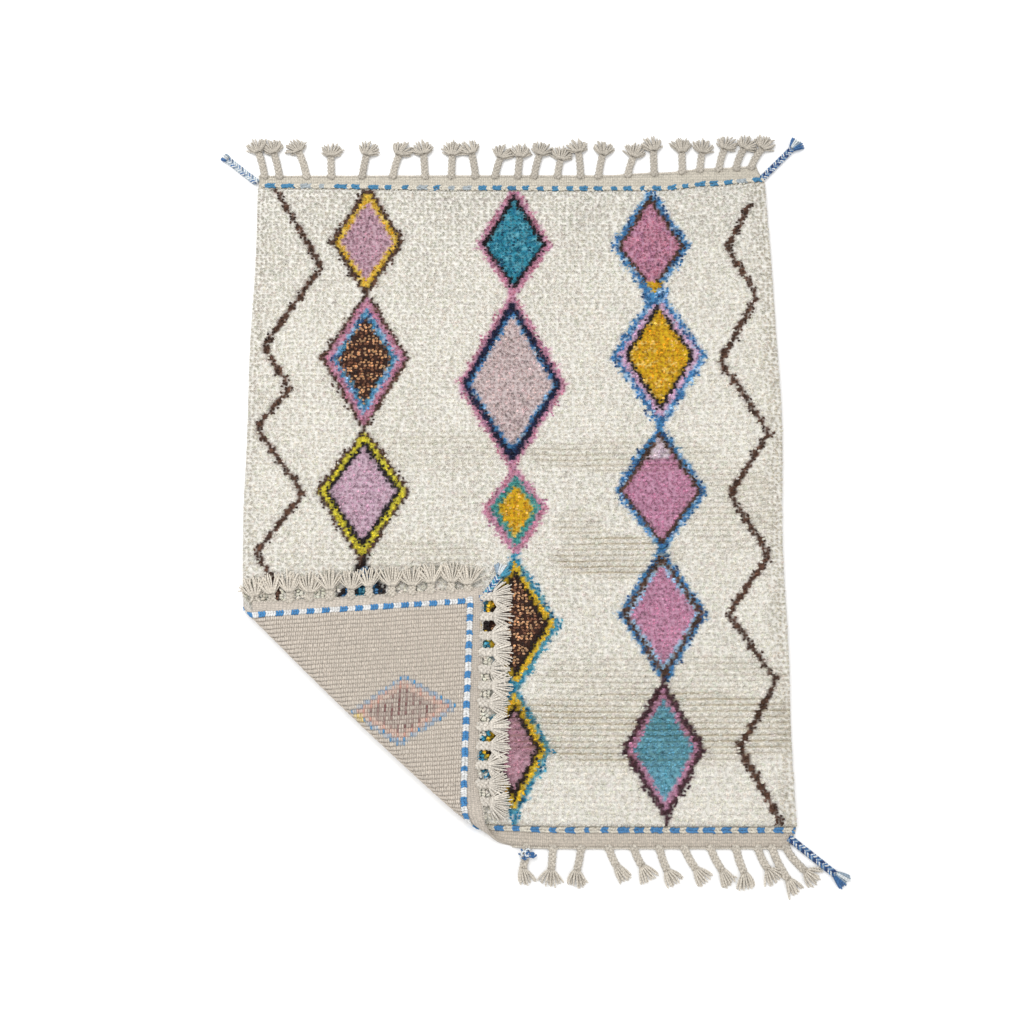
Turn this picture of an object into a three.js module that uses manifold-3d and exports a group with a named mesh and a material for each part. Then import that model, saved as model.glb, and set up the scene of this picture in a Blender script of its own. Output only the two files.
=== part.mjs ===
// Azilal rug: a knotted wool rug that lies flat with one corner folded over its front.
// Millimetres, +Z up. The origin is on the floor under the middle of the woven rectangle, +Y to the far end.
// The flat rug has its own plan: x across, y along, h up from the back of the cloth into the pile.

import * as THREE from 'three';
import { mergeVertices } from 'three/addons/utils/BufferGeometryUtils.js';
import Module from 'manifold-3d';

const wasm = await Module();
wasm.setup();

// Driving sizes of the cloth
const halfWidth = 600;
const nearHem = -766;
const pileHeight = 18;
const bandThickness = 5;
const dashThickness = 7;
const nearBandWidth = 30;
const sideBandWidth = 22;
const dashWidth = 14;
const pileRim = 6;
const rimHeight = 13;
const rimBulge = { size: 1.5, uneven: 0.7, across: 1.9, along: 2.3 };
const sideTaper = 0.007;
const lumps = { depth: 1.6, across: 47, along: 53, bendAcross: 71, bendAlong: 83, bend: 1.3, otherBend: 0.8 };
const sideWave = { size: 1.6, length: 71 };
const bandInset = 16;
const bandInsetFrom = 520;

// Where a side of the rug swells out or draws in: push is outwards, at and spread are places along the rug
const sideSwells = [
  { side: 1, at: 260, spread: 180, push: 12 },
  { side: -1, at: -215, spread: 110, push: -8 },
];

// The far hem isn't straight: its edge and its dash row, one line for each place across
const farEdge = [
  { x: -600, hem: 766, dash: 742 },
  { x: -50, hem: 767, dash: 736 },
  { x: 210, hem: 767, dash: 735 },
  { x: 350, hem: 774, dash: 736 },
  { x: 480, hem: 785, dash: 748 },
  { x: 600, hem: 790, dash: 758 },
];

// Driving sizes of the folded corner
const foldAngle = THREE.MathUtils.degToRad(47.6);
const foldStart = { x: -573.5, y: -245 };
const foldRadius = 23;
const foldSteps = 8;
const restHeight = 38;
const foldFall = 150;
const flapTip = { x: -49, y: -210 };
const sideBandStart = -300;
const droopHeight = 24;
const droopAtFold = 34;
const droopFall = 60;
const droopWidth = 45;
const sideSettle = 50;
const bandPull = 13;
const flapWave = { size: 1.2, across: 38, along: 61 };
const hemEase = { x: -47, y: -756, push: 7, spread: 60 };

// Driving sizes of the fringe
const gap = 0.3;
const stripWidth = 9;
const stripHeight = 5;
const stripBeyond = 10;
const rootLength = 5;
const rootGap = 2.5;
const flapFringeFloor = 18.4;
const braid = { width: 16.5, height: 9, waist: 0.76, bumps: 3 };
const lock = { count: 3, width: 9.5, height: 7, fan: 0.36, length: 27, share: 0.62, apart: 0.42, inNeck: 4 };
const lockShape = { foot: 0.5, end: 1.15, endHeight: 0.7 };
const flapLockSpread = 0.76;
const crownShare = 0.6;

const smooth = (t) => THREE.MathUtils.smoothstep(t, 0, 1);
const clampShare = (t) => THREE.MathUtils.clamp(t, 0, 1);
const foldNormal = { x: Math.cos(foldAngle), y: Math.sin(foldAngle) };
const foldLength = Math.PI * foldRadius;

// Reads one column of the far edge's table at a place across the rug
function farEdgeAt(x, column) {
  const rows = farEdge;
  let k = 0;
  while (k < rows.length - 2 && x > rows[k + 1].x) {
    k += 1;
  }
  const t = (x - rows[k].x) / (rows[k + 1].x - rows[k].x);
  return THREE.MathUtils.lerp(rows[k][column], rows[k + 1][column], smooth(t));
}

// How far a place of the flat rug lies beyond the line where the fold starts
function foldDepth(x, y) {
  return -((x - foldStart.x) * foldNormal.x + (y - foldStart.y) * foldNormal.y);
}

// Where the folded corner's plan goes: it keeps the fold's line, and its tip lands on flapTip
const flatTip = { x: -halfWidth - sideBandWidth, y: nearHem };
const tipReach = foldDepth(flatTip.x, flatTip.y) - foldLength;
const mirroredTip = {
  x: flatTip.x + foldNormal.x * (2 * tipReach + foldLength),
  y: flatTip.y + foldNormal.y * (2 * tipReach + foldLength),
};
const tipShift = {
  x: (flapTip.x - mirroredTip.x) / tipReach,
  y: (flapTip.y - mirroredTip.y) / tipReach,
};

// Thickness of the cloth: bare bands, low dash rows, and pile that is lower at its rim
function thickness(x, y) {
  const near = y - nearHem;
  const fromDash = farEdgeAt(x, 'dash') - dashWidth / 2 - y;
  const fromSide = y < sideBandStart ? x + halfWidth - dashWidth : x + halfWidth + pileRim;
  const inside = Math.min(near - nearBandWidth - dashWidth, fromDash, fromSide);
  if (inside <= 0) {
    const outer = near < nearBandWidth - 1 || fromDash < -dashWidth - 1 || x < -halfWidth - 1;
    return outer ? bandThickness : dashThickness;
  }
  const toSide = Math.min(halfWidth - x, x + halfWidth);
  const rim = toSide < 1 ? rimHeight : pileHeight;
  const lumpAcross = Math.sin(x / lumps.across + lumps.bend * Math.sin(y / lumps.bendAlong));
  const lumpAlong = Math.cos(y / lumps.along + lumps.otherBend * Math.sin(x / lumps.bendAcross));
  const step = smooth(inside / pileRim);
  return THREE.MathUtils.lerp(dashThickness, rim - (lumps.depth * (1 + lumpAcross * lumpAlong)) / 2, step);
}

// Height of the folded corner's upper side, which droops along its bare edges
function flapHeight(x, y, depth) {
  const fall = smooth(depth / foldFall);
  const full = THREE.MathUtils.lerp(2 * foldRadius, restHeight, fall);
  const fromNear = y - nearHem;
  const settled = smooth((sideBandStart - y) / sideSettle);
  const fromSide = THREE.MathUtils.lerp(droopWidth, x + halfWidth + sideBandWidth, settled);
  const t = clampShare(Math.min(fromNear, fromSide) / droopWidth);
  const wave = flapWave.size * Math.sin(x / flapWave.across + y / flapWave.along) * t;
  const edge = THREE.MathUtils.lerp(droopAtFold, droopHeight, smooth(depth / droopFall));
  return THREE.MathUtils.lerp(edge, full + wave, smooth(t));
}

// Small changes of the outline: the sides widen to the near end, and the near hem rounds into the fold
function easePlan(point) {
  const bottom = -point.y / halfWidth;
  point.x *= 1 + sideTaper * bottom;
  point.x += sideWave.size * Math.sin(point.y / sideWave.length) * (Math.abs(point.x) / halfWidth);
  sideSwells.forEach(({ side, at, spread, push }) => {
    const share = clampShare((side * point.x) / halfWidth) ** 2;
    point.x += side * push * share * Math.exp(-((point.y - at) ** 2) / (2 * spread ** 2));
  });
  const away = (point.x - hemEase.x) ** 2 + (point.y - hemEase.y) ** 2;
  const push = hemEase.push * Math.exp(-away / (2 * hemEase.spread ** 2));
  point.x += push * foldNormal.x;
  point.y += push * foldNormal.y;
  return point;
}

// The bare bands end a little inside the pile at the rug's right side
function insetBand(x, y) {
  const nearShare = (nearHem + nearBandWidth + dashWidth - y) / (nearBandWidth + dashWidth);
  const pileEdge = farEdgeAt(x, 'dash') - dashWidth / 2;
  const farShare = (y - pileEdge) / (farEdgeAt(x, 'hem') - pileEdge);
  const share = smooth(Math.max(nearShare, farShare));
  const across = smooth((x - bandInsetFrom) / (halfWidth - bandInsetFrom));
  return x - bandInset * share * across;
}

// The place of a point of the flat rug, at height h above its back, once the corner is folded
function lay(x, y, h) {
  const depth = foldDepth(x, y);
  const point = new THREE.Vector3(insetBand(x, y), y, h);
  if (depth > 0) {
    const top = flapHeight(x, y, Math.max(depth - foldLength, 0));
    const beyond = depth - foldLength;
    if (beyond > 0) {
      const atHem = 1 - smooth((y - nearHem) / nearBandWidth);
      const pull = bandPull * atHem * smooth(beyond / droopFall);
      point.x += foldNormal.x * (2 * beyond + foldLength) + tipShift.x * beyond - pull;
      point.y += foldNormal.y * (2 * beyond + foldLength) + tipShift.y * beyond;
      point.z = top - h;
    } else {
      const turn = depth / foldRadius;
      const outer = top / 2;
      const out = depth - (outer - h) * Math.sin(turn);
      point.x += foldNormal.x * out;
      point.y += foldNormal.y * out;
      point.z = outer - (outer - h) * Math.cos(turn);
    }
  }
  return easePlan(point);
}

// Columns and rows of the flat rug's plan, closer at its edges and through the bands
const innerColumns = 20;
const nearRows = 9;
const farRows = 17;

function columns() {
  const inner = halfWidth - dashWidth;
  const list = [-halfWidth - sideBandWidth, -halfWidth];
  for (let k = 0; k <= innerColumns; k += 1) {
    list.push(-inner + (2 * inner * k) / innerColumns);
  }
  list.splice(3, 0, -inner + pileRim + 1);
  list.push(halfWidth);
  return list;
}

function rowAt(k, x) {
  const firstPile = nearHem + nearBandWidth + dashWidth;
  const splitRow = sideBandStart + pileRim + 1;
  const farPile = farEdgeAt(x, 'dash') - dashWidth / 2;
  const edges = [nearHem, nearHem + nearBandWidth, firstPile, firstPile + pileRim];
  const start = edges.length;
  if (k < start) {
    return edges[k];
  }
  if (k < start + nearRows) {
    return THREE.MathUtils.lerp(edges[start - 1], sideBandStart, (k - start + 1) / nearRows);
  }
  if (k < start + nearRows + farRows) {
    return THREE.MathUtils.lerp(splitRow, farPile - pileRim, (k - start - nearRows) / (farRows - 1));
  }
  const last = [farPile, farPile + dashWidth, farEdgeAt(x, 'hem')];
  return last[k - start - nearRows - farRows];
}

const rowCount = 4 + nearRows + farRows + 3;

// Cuts a convex polygon at one depth of the fold and returns its two sides
function splitAt(polygon, depth) {
  const before = [];
  const after = [];
  polygon.forEach((a, k) => {
    const b = polygon[(k + 1) % polygon.length];
    const da = foldDepth(a.x, a.y) - depth;
    const db = foldDepth(b.x, b.y) - depth;
    (da <= 0 ? before : after).push(a);
    if ((da <= 0) !== (db <= 0)) {
      const t = da / (da - db);
      const cut = { x: a.x + (b.x - a.x) * t, y: a.y + (b.y - a.y) * t };
      before.push(cut);
      after.push(cut);
    }
  });
  return [before, after];
}

// The plan as convex cells, each cut along the fold's steps
function planCells() {
  const across = columns();
  const cells = [];
  for (let j = 0; j < rowCount - 1; j += 1) {
    for (let i = 0; i < across.length - 1; i += 1) {
      const corner = (ci, rj) => ({ x: across[ci], y: rowAt(rj, across[ci]) });
      const cell = [corner(i, j), corner(i + 1, j), corner(i + 1, j + 1), corner(i, j + 1)];
      const besideRug = i === 0;
      if (besideRug && cell[3].y > sideBandStart + 0.01) {
        continue;
      }
      let rest = cell;
      for (let k = 0; k <= foldSteps && rest.length > 2; k += 1) {
        const [before, after] = splitAt(rest, (foldLength * k) / foldSteps);
        if (before.length > 2) {
          cells.push(before);
        }
        rest = after;
      }
      if (rest.length > 2) {
        cells.push(rest);
      }
    }
  }
  return cells;
}

// The rug: its cells give the back and the pile side, and its outline gives the walls
function rugGeometry() {
  const places = [];
  const placeOf = new Map();
  const indexOf = (p) => {
    const key = `${Math.round(p.x * 50)},${Math.round(p.y * 50)}`;
    if (!placeOf.has(key)) {
      placeOf.set(key, places.length);
      places.push(p);
    }
    return placeOf.get(key);
  };
  const faces = [];
  const edges = new Map();
  planCells().forEach((cell) => {
    const ring = cell.map(indexOf).filter((v, k, all) => v !== all[(k + 1) % all.length]);
    for (let k = 1; k < ring.length - 1; k += 1) {
      faces.push([ring[0], ring[k], ring[k + 1]]);
    }
    ring.forEach((a, k) => {
      const b = ring[(k + 1) % ring.length];
      if (!edges.delete(`${b},${a}`)) {
        edges.set(`${a},${b}`, [a, b]);
      }
    });
  });
  const outward = places.map(() => ({ x: 0, y: 0 }));
  edges.forEach(([a, b]) => {
    const length = Math.hypot(places[b].x - places[a].x, places[b].y - places[a].y);
    [a, b].forEach((v) => {
      outward[v].x += (places[b].y - places[a].y) / length;
      outward[v].y -= (places[b].x - places[a].x) / length;
    });
  });
  const positions = [];
  const triangle = (...points) => points.forEach((p) => positions.push(p.x, p.y, p.z));
  const level = (v, share) => {
    const p = places[v];
    const thick = thickness(p.x, p.y);
    const swell = 1 + rimBulge.uneven * Math.sin(p.x * rimBulge.across + p.y * rimBulge.along);
    const bulges = share > 0 && share < 1 && thick > dashThickness + 1;
    const out = bulges ? rimBulge.size * swell : 0;
    return lay(p.x + outward[v].x * out, p.y + outward[v].y * out, thick * share);
  };
  faces.forEach(([a, b, c]) => {
    triangle(level(a, 1), level(b, 1), level(c, 1));
    triangle(level(a, 0), level(c, 0), level(b, 0));
  });
  const levels = [0, 0.5, 1];
  edges.forEach(([a, b]) => {
    for (let k = 0; k < levels.length - 1; k += 1) {
      const [low, high] = [levels[k], levels[k + 1]];
      triangle(level(a, low), level(b, low), level(b, high));
      triangle(level(a, low), level(b, high), level(a, high));
    }
  });
  return closedGeometry(positions);
}

function closedGeometry(positions) {
  const geometry = new THREE.BufferGeometry();
  geometry.setAttribute('position', new THREE.Float32BufferAttribute(positions, 3));
  return mergeVertices(geometry, 1e-3);
}

// A closed bar through sections that stand on a floor: each section has a place, a width and a height
function bar(sections, floor, sides) {
  const rings = sections.map((section, k) => {
    const before = sections[Math.max(k - 1, 0)];
    const after = sections[Math.min(k + 1, sections.length - 1)];
    const along = new THREE.Vector2(after.x - before.x, after.y - before.y).normalize();
    const corner = (side, up) => new THREE.Vector3(
      section.x - along.y * side * section.width,
      section.y + along.x * side * section.width,
      floor + up * section.height,
    );
    if (sides === 3) {
      return [corner(-0.5, 0), corner(0, 1), corner(0.5, 0)];
    }
    return [corner(-0.5, 0), corner(-crownShare / 2, 1), corner(crownShare / 2, 1), corner(0.5, 0)];
  });
  const positions = [];
  const triangle = (...points) => points.forEach((p) => positions.push(p.x, p.y, p.z));
  rings.slice(0, -1).forEach((ring, k) => {
    const next = rings[k + 1];
    ring.forEach((a, side) => {
      const other = (side + 1) % sides;
      triangle(a, next[other], ring[other]);
      triangle(a, next[side], next[other]);
    });
  });
  const first = rings[0];
  const last = rings[rings.length - 1];
  for (let side = 1; side < sides - 1; side += 1) {
    triangle(first[0], first[side], first[side + 1]);
    triangle(last[0], last[side + 1], last[side]);
  }
  return solid(closedGeometry(positions));
}

function solid(geometry) {
  return new wasm.Manifold(new wasm.Mesh({
    numProp: 3,
    vertProperties: geometry.attributes.position.array,
    triVerts: new Uint32Array(geometry.index.array),
  }));
}

function joined(pieces) {
  const mesh = pieces.reduce((sum, piece) => sum.add(piece)).getMesh();
  const geometry = new THREE.BufferGeometry();
  geometry.setAttribute('position', new THREE.BufferAttribute(mesh.vertProperties, 3));
  geometry.setIndex(new THREE.BufferAttribute(mesh.triVerts, 1));
  return geometry;
}

// A plait that leaves the cloth square to its edge, and its head of spread locks
function braidPieces(root, tip, side, floor, size = 1, spreadShare = 1) {
  const way = new THREE.Vector2(tip.x - root.x, tip.y - root.y);
  const reach = way.length();
  way.normalize();
  const neck = Math.max(reach - lock.length, reach * (1 - lock.share));
  const sections = [{
    x: root.x - side.x * rootLength,
    y: root.y - side.y * rootLength,
    width: braid.width * size,
    height: braid.height,
  }];
  for (let k = 0; k <= braid.bumps; k += 1) {
    const along = (neck * k) / braid.bumps;
    const fat = k % 2 === 0 ? 1 : braid.waist;
    sections.push({
      x: root.x + way.x * along,
      y: root.y + way.y * along,
      width: braid.width * size * fat,
      height: braid.height * fat,
    });
  }
  const pieces = [bar(sections, floor, 4)];
  for (let k = 0; k < lock.count; k += 1) {
    const spread = k - (lock.count - 1) / 2;
    const aim = way.clone().rotateAround(new THREE.Vector2(), spread * lock.fan * spreadShare);
    const start = neck - lock.inNeck;
    const run = reach - start;
    const shift = spread * lock.width * lock.apart * size * spreadShare;
    const places = [
      { along: 0, width: lockShape.foot, height: 1 },
      { along: 1, width: lockShape.end, height: lockShape.endHeight },
    ];
    pieces.push(bar(places.map(({ along, width, height }) => ({
      x: root.x + way.x * start - way.y * shift + aim.x * run * along,
      y: root.y + way.y * start + way.x * shift + aim.y * run * along,
      width: lock.width * size * spreadShare * width,
      height: lock.height * height,
    })), floor, 3));
  }
  return pieces;
}

// Far fringe: where each plait is rooted across the hem, how far it leans and how far it reaches
const farBraids = [
  { at: -583, lean: -26, reach: 94 },
  { at: -548, lean: -24, reach: 92 },
  { at: -484, lean: -32, reach: 95 },
  { at: -426, lean: -4, reach: 85 },
  { at: -353, lean: 15, reach: 88 },
  { at: -281, lean: 23, reach: 87 },
  { at: -205, lean: -7, reach: 90 },
  { at: -143, lean: 3, reach: 87 },
  { at: -86, lean: -15, reach: 91 },
  { at: -40, lean: 22, reach: 79 },
  { at: 14, lean: 8, reach: 82 },
  { at: 52, lean: 21, reach: 87 },
  { at: 107, lean: 14, reach: 75 },
  { at: 162, lean: -7, reach: 95 },
  { at: 204, lean: 17, reach: 87 },
  { at: 273, lean: 24, reach: 78 },
  { at: 335, lean: -1, reach: 92 },
  { at: 402, lean: -1, reach: 83 },
  { at: 443, lean: 12, reach: 76 },
  { at: 488, lean: 24, reach: 83 },
  { at: 528, lean: 34, reach: 81 },
  { at: 564, lean: 46, reach: 76 },
];

const nearBraids = [
  { at: 32, lean: -16, reach: 79 },
  { at: 87, lean: -7, reach: 81 },
  { at: 147, lean: -17, reach: 81 },
  { at: 205, lean: 32, reach: 68 },
  { at: 258, lean: 34, reach: 68 },
  { at: 313, lean: 28, reach: 80 },
  { at: 366, lean: 42, reach: 74 },
  { at: 422, lean: 40, reach: 77 },
  { at: 476, lean: 27, reach: 85 },
  { at: 522, lean: 36, reach: 76 },
  { at: 553, lean: 48, reach: 97 },
  { at: 582, lean: 64, reach: 74 },
];

// Fringe of the folded corner's end edge, by its place along the rug
const flapEndBraids = [
  { at: -231, lean: 1, reach: 66 },
  { at: -275, lean: 2, reach: 68 },
  { at: -317, lean: 1, reach: 65 },
  { at: -352, lean: -1, reach: 70 },
  { at: -389, lean: -3, reach: 66 },
  { at: -424, lean: 0, reach: 69 },
  { at: -460, lean: -5, reach: 65 },
  { at: -512, lean: 3, reach: 67 },
  { at: -552, lean: -2, reach: 70 },
  { at: -593, lean: 2, reach: 66 },
  { at: -632, lean: -3, reach: 68 },
  { at: -669, lean: -4, reach: 64 },
];

// Fringe of the folded corner's side edge, by its place across the rug
const flapSideBraids = [
  { at: -558, lean: -16, reach: 55 },
  { at: -525, lean: -6, reach: 60 },
  { at: -486, lean: -4, reach: 62 },
  { at: -443, lean: 3, reach: 58 },
  { at: -399, lean: -2, reach: 61 },
  { at: -354, lean: 5, reach: 59 },
  { at: -313, lean: -3, reach: 62 },
  { at: -264, lean: 2, reach: 60 },
  { at: -220, lean: 4, reach: 58 },
  { at: -177, lean: -2, reach: 61 },
  { at: -134, lean: 3, reach: 60 },
  { at: -96, lean: -3, reach: 52 },
];

// An edge of the laid cloth: the points of its rim, read along one axis
function rimAlong(points, axis) {
  const sorted = [...points].sort((a, b) => a[axis] - b[axis]);
  const at = (value) => {
    const k = Math.min(Math.max(sorted.findIndex((p) => p[axis] >= value), 1), sorted.length - 1);
    const [a, b] = [sorted[k - 1], sorted[k]];
    return a.clone().lerp(b, (value - a[axis]) / (b[axis] - a[axis]));
  };
  return { at, stops: sorted.map((p) => p[axis]) };
}

// A fringe: a narrow strip along an edge of the cloth, and its braids; side points away from the cloth
function fringeGeometry(rows, rim, side, floor, spreadShare) {
  const places = rows.map((row) => row.at);
  const [start, end] = [Math.min(...places) - stripBeyond, Math.max(...places) + stripBeyond];
  const stations = [start, ...rim.stops.filter((stop) => stop > start + 1 && stop < end - 1), end];
  const sections = stations.map((at) => {
    const edge = rim.at(at);
    return {
      x: edge.x + side.x * (gap + stripWidth / 2),
      y: edge.y + side.y * (gap + stripWidth / 2),
      width: stripWidth,
      height: stripHeight,
    };
  });
  const pieces = [bar(sections, floor, 4)];
  rows.forEach(({ at, lean, reach }) => {
    const edge = rim.at(at);
    const out = rootGap + rootLength;
    const root = { x: edge.x + side.x * out, y: edge.y + side.y * out };
    const tip = {
      x: edge.x + side.x * reach + Math.abs(side.y) * lean,
      y: edge.y + side.y * reach + Math.abs(side.x) * lean,
    };
    pieces.push(...braidPieces(root, tip, side, floor, 1, spreadShare));
  });
  return joined(pieces);
}

// The four fringed edges, through the columns and rows of the plan that meet them
const hemColumns = columns().filter((x) => x >= -halfWidth);
const flatHemColumns = hemColumns.filter((x) => foldDepth(x, nearHem) <= 0);
const flapColumns = columns().filter((x) => foldDepth(x, nearHem) > foldLength);
const flapEndOfFold = foldStart.x + ((foldStart.y - nearHem) * foldNormal.y - foldLength) / foldNormal.x;
const rowNumbers = [...Array(rowCount).keys()];
const sideRows = rowNumbers.map((k) => rowAt(k, flatTip.x)).filter((y) => y <= sideBandStart);
const farRim = rimAlong(hemColumns.map((x) => lay(x, farEdgeAt(x, 'hem'), 0)), 'x');
const nearRim = rimAlong(flatHemColumns.map((x) => lay(x, nearHem, 0)), 'x');
const flapEndRim = rimAlong([...flapColumns, flapEndOfFold].map((x) => lay(x, nearHem, 0)), 'y');
const flapSideRim = rimAlong(sideRows.map((y) => lay(flatTip.x, y, 0)), 'x');

const part = new THREE.Group();

function addPiece(name, geometry, color, roughness) {
  const material = new THREE.MeshStandardMaterial({ color, roughness, metalness: 0 });
  const mesh = new THREE.Mesh(geometry, material);
  mesh.name = name;
  part.add(mesh);
}

const woolColor = '#e2ddcf';
const fringeColor = '#cfc6b6';
const braidColor = '#8fb2d2';

addPiece('rug_body', rugGeometry(), woolColor, 0.95);
addPiece('fringe_far', fringeGeometry(farBraids, farRim, { x: 0, y: 1 }, 0), fringeColor, 0.9);
addPiece('fringe_near', fringeGeometry(nearBraids, nearRim, { x: 0, y: -1 }, 0), fringeColor, 0.9);
addPiece(
  'fringe_flap_end',
  fringeGeometry(flapEndBraids, flapEndRim, { x: 1, y: 0 }, flapFringeFloor, flapLockSpread),
  fringeColor,
  0.9,
);
addPiece(
  'fringe_flap_side',
  fringeGeometry(flapSideBraids, flapSideRim, { x: 0, y: 1 }, flapFringeFloor, flapLockSpread),
  fringeColor,
  0.9,
);

// The blue and white braids, each on a stretch of the rim between two places of the flat plan
const farOuterDash = (x) => farEdgeAt(x, 'dash') + dashWidth / 2;
const cornerBraids = [
  {
    name: 'corner_braid_far_left',
    from: [-halfWidth, farEdgeAt(-halfWidth, 'hem')],
    to: [-halfWidth, farOuterDash(-halfWidth)],
    share: 0.9,
    tip: [-684, 818],
    floor: 0,
    size: 1.1,
  },
  {
    name: 'corner_braid_far_right',
    from: [halfWidth, farOuterDash(halfWidth)],
    to: [halfWidth, farEdgeAt(halfWidth, 'hem')],
    share: 0.4,
    tip: [684, 856],
    floor: 0,
    size: 1,
  },
  {
    name: 'corner_braid_near_right',
    from: [halfWidth, nearHem],
    to: [halfWidth, nearHem + nearBandWidth],
    share: 0.7,
    tip: [709, -838],
    floor: 0,
    size: 1.1,
  },
  {
    name: 'corner_tuft_fold',
    from: [0, nearHem],
    to: [58, nearHem],
    share: 0.12,
    tip: [-5, -793],
    floor: 0,
    size: 0.7,
  },
];

cornerBraids.forEach(({ name, from, to, share, tip, floor, size }) => {
  const [a, b] = [lay(...from, 0), lay(...to, 0)];
  const along = new THREE.Vector2(b.x - a.x, b.y - a.y).normalize();
  const side = { x: along.y, y: -along.x };
  const seat = a.clone().lerp(b, share);
  const root = { x: seat.x + side.x * (gap + rootLength), y: seat.y + side.y * (gap + rootLength) };
  addPiece(name, joined(braidPieces(root, { x: tip[0], y: tip[1] }, side, floor, size)), braidColor, 0.9);
});

// The braid at the folded tip leaves it in the tip's own direction
const tipCorner = lay(flatTip.x, flatTip.y, 0);
const tipBraidEnd = new THREE.Vector2(-14, -155);
const tipWay = tipBraidEnd.clone().sub(new THREE.Vector2(tipCorner.x, tipCorner.y)).normalize();
const tipRoot = {
  x: tipCorner.x + tipWay.x * (gap + rootLength),
  y: tipCorner.y + tipWay.y * (gap + rootLength),
};
const tipBraid = joined(braidPieces(tipRoot, tipBraidEnd, tipWay, flapFringeFloor, 0.9));
addPiece('corner_braid_flap_tip', tipBraid, braidColor, 0.9);

export default part;
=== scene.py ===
# Azilal rug: knotted wool pile with diamonds, one corner folded over its front, plaited fringe.
# Metres, +Z up. The flat rug has its own plan: x across, y along, h up from the back of the cloth.

import math

import bpy
import numpy as np
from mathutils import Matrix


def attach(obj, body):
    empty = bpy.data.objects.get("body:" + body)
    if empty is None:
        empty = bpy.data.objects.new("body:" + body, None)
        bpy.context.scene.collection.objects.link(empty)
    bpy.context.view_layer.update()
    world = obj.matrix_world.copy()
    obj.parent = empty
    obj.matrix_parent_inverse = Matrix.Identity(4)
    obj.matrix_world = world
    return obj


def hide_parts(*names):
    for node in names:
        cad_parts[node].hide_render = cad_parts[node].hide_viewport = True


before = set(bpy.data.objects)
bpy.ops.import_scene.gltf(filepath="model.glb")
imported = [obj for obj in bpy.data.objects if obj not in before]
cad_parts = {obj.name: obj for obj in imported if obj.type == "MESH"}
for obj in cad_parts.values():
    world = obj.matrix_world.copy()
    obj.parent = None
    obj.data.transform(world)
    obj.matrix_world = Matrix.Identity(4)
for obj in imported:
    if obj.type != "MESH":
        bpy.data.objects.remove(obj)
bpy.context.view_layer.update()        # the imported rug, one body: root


def mix(a, b, t):
    return a + (b - a) * t


def smooth(t):
    t = np.clip(t, 0, 1)
    return t * t * (3 - 2 * t)


def unit(v):
    return v / np.maximum(np.linalg.norm(v, axis=-1, keepdims=True), 1e-9)


# The cloth's plan and its fold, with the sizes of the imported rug

plan = {
    "halfWidth": 0.600,
    "nearHem": -0.766,
    "nearBand": 0.030,
    "dashWidth": 0.014,
    "sideBand": 0.022,
    "sideBandStart": -0.300,
    "sideTaper": 0.007,
    "sideWave": 0.0016,
    "sideWaveLength": 0.071,
    "bandInset": 0.016,
    "bandInsetFrom": 0.520,
    "bandThick": 0.005,
    "pileThick": 0.018,
    "pileRim": 0.006,
}
farEdge = {
    "x": [-0.600, -0.050, 0.210, 0.350, 0.480, 0.600],
    "hem": [0.766, 0.767, 0.767, 0.774, 0.785, 0.790],
    "dash": [0.742, 0.736, 0.735, 0.736, 0.748, 0.758],
}
sideSwells = [
    {"side": 1, "at": 0.260, "spread": 0.180, "push": 0.012},
    {"side": -1, "at": -0.215, "spread": 0.110, "push": -0.008},
]
fold = {
    "angle": math.radians(47.6),
    "start": (-0.5735, -0.245),
    "radius": 0.023,
    "restHeight": 0.038,
    "fall": 0.150,
    "tip": (-0.049, -0.210),
    "droopHeight": 0.024,
    "droopAtFold": 0.034,
    "droopFall": 0.060,
    "droopWidth": 0.045,
    "sideSettle": 0.050,
    "bandPull": 0.013,
    "wave": 0.0012,
    "waveAcross": 0.038,
    "waveAlong": 0.061,
    "easeAt": (-0.047, -0.756),
    "easePush": 0.007,
    "easeSpread": 0.060,
}
foldNormal = (math.cos(fold["angle"]), math.sin(fold["angle"]))
foldLength = math.pi * fold["radius"]
pileStart = plan["nearHem"] + plan["nearBand"] + plan["dashWidth"]


def farEdgeAt(x, column):
    places = np.array(farEdge["x"])
    values = np.array(farEdge[column])
    k = np.clip(np.searchsorted(places, x) - 1, 0, len(places) - 2)
    t = (x - places[k]) / (places[k + 1] - places[k])
    return mix(values[k], values[k + 1], smooth(t))


def foldDepth(x, y):
    return -((x - fold["start"][0]) * foldNormal[0] + (y - fold["start"][1]) * foldNormal[1])


flatTip = (-plan["halfWidth"] - plan["sideBand"], plan["nearHem"])
tipReach = float(foldDepth(*flatTip)) - foldLength
tipShift = [
    (fold["tip"][k] - flatTip[k] - foldNormal[k] * (2 * tipReach + foldLength)) / tipReach
    for k in (0, 1)
]


def flapHeight(x, y, beyond):
    fall = smooth(beyond / fold["fall"])
    full = mix(2 * fold["radius"], fold["restHeight"], fall)
    settled = smooth((plan["sideBandStart"] - y) / fold["sideSettle"])
    fromSide = mix(fold["droopWidth"], x + plan["halfWidth"] + plan["sideBand"], settled)
    t = np.clip(np.minimum(y - plan["nearHem"], fromSide) / fold["droopWidth"], 0, 1)
    wave = fold["wave"] * np.sin(x / fold["waveAcross"] + y / fold["waveAlong"]) * t
    edge = mix(fold["droopAtFold"], fold["droopHeight"], smooth(beyond / fold["droopFall"]))
    return mix(edge, full + wave, smooth(t))


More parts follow.
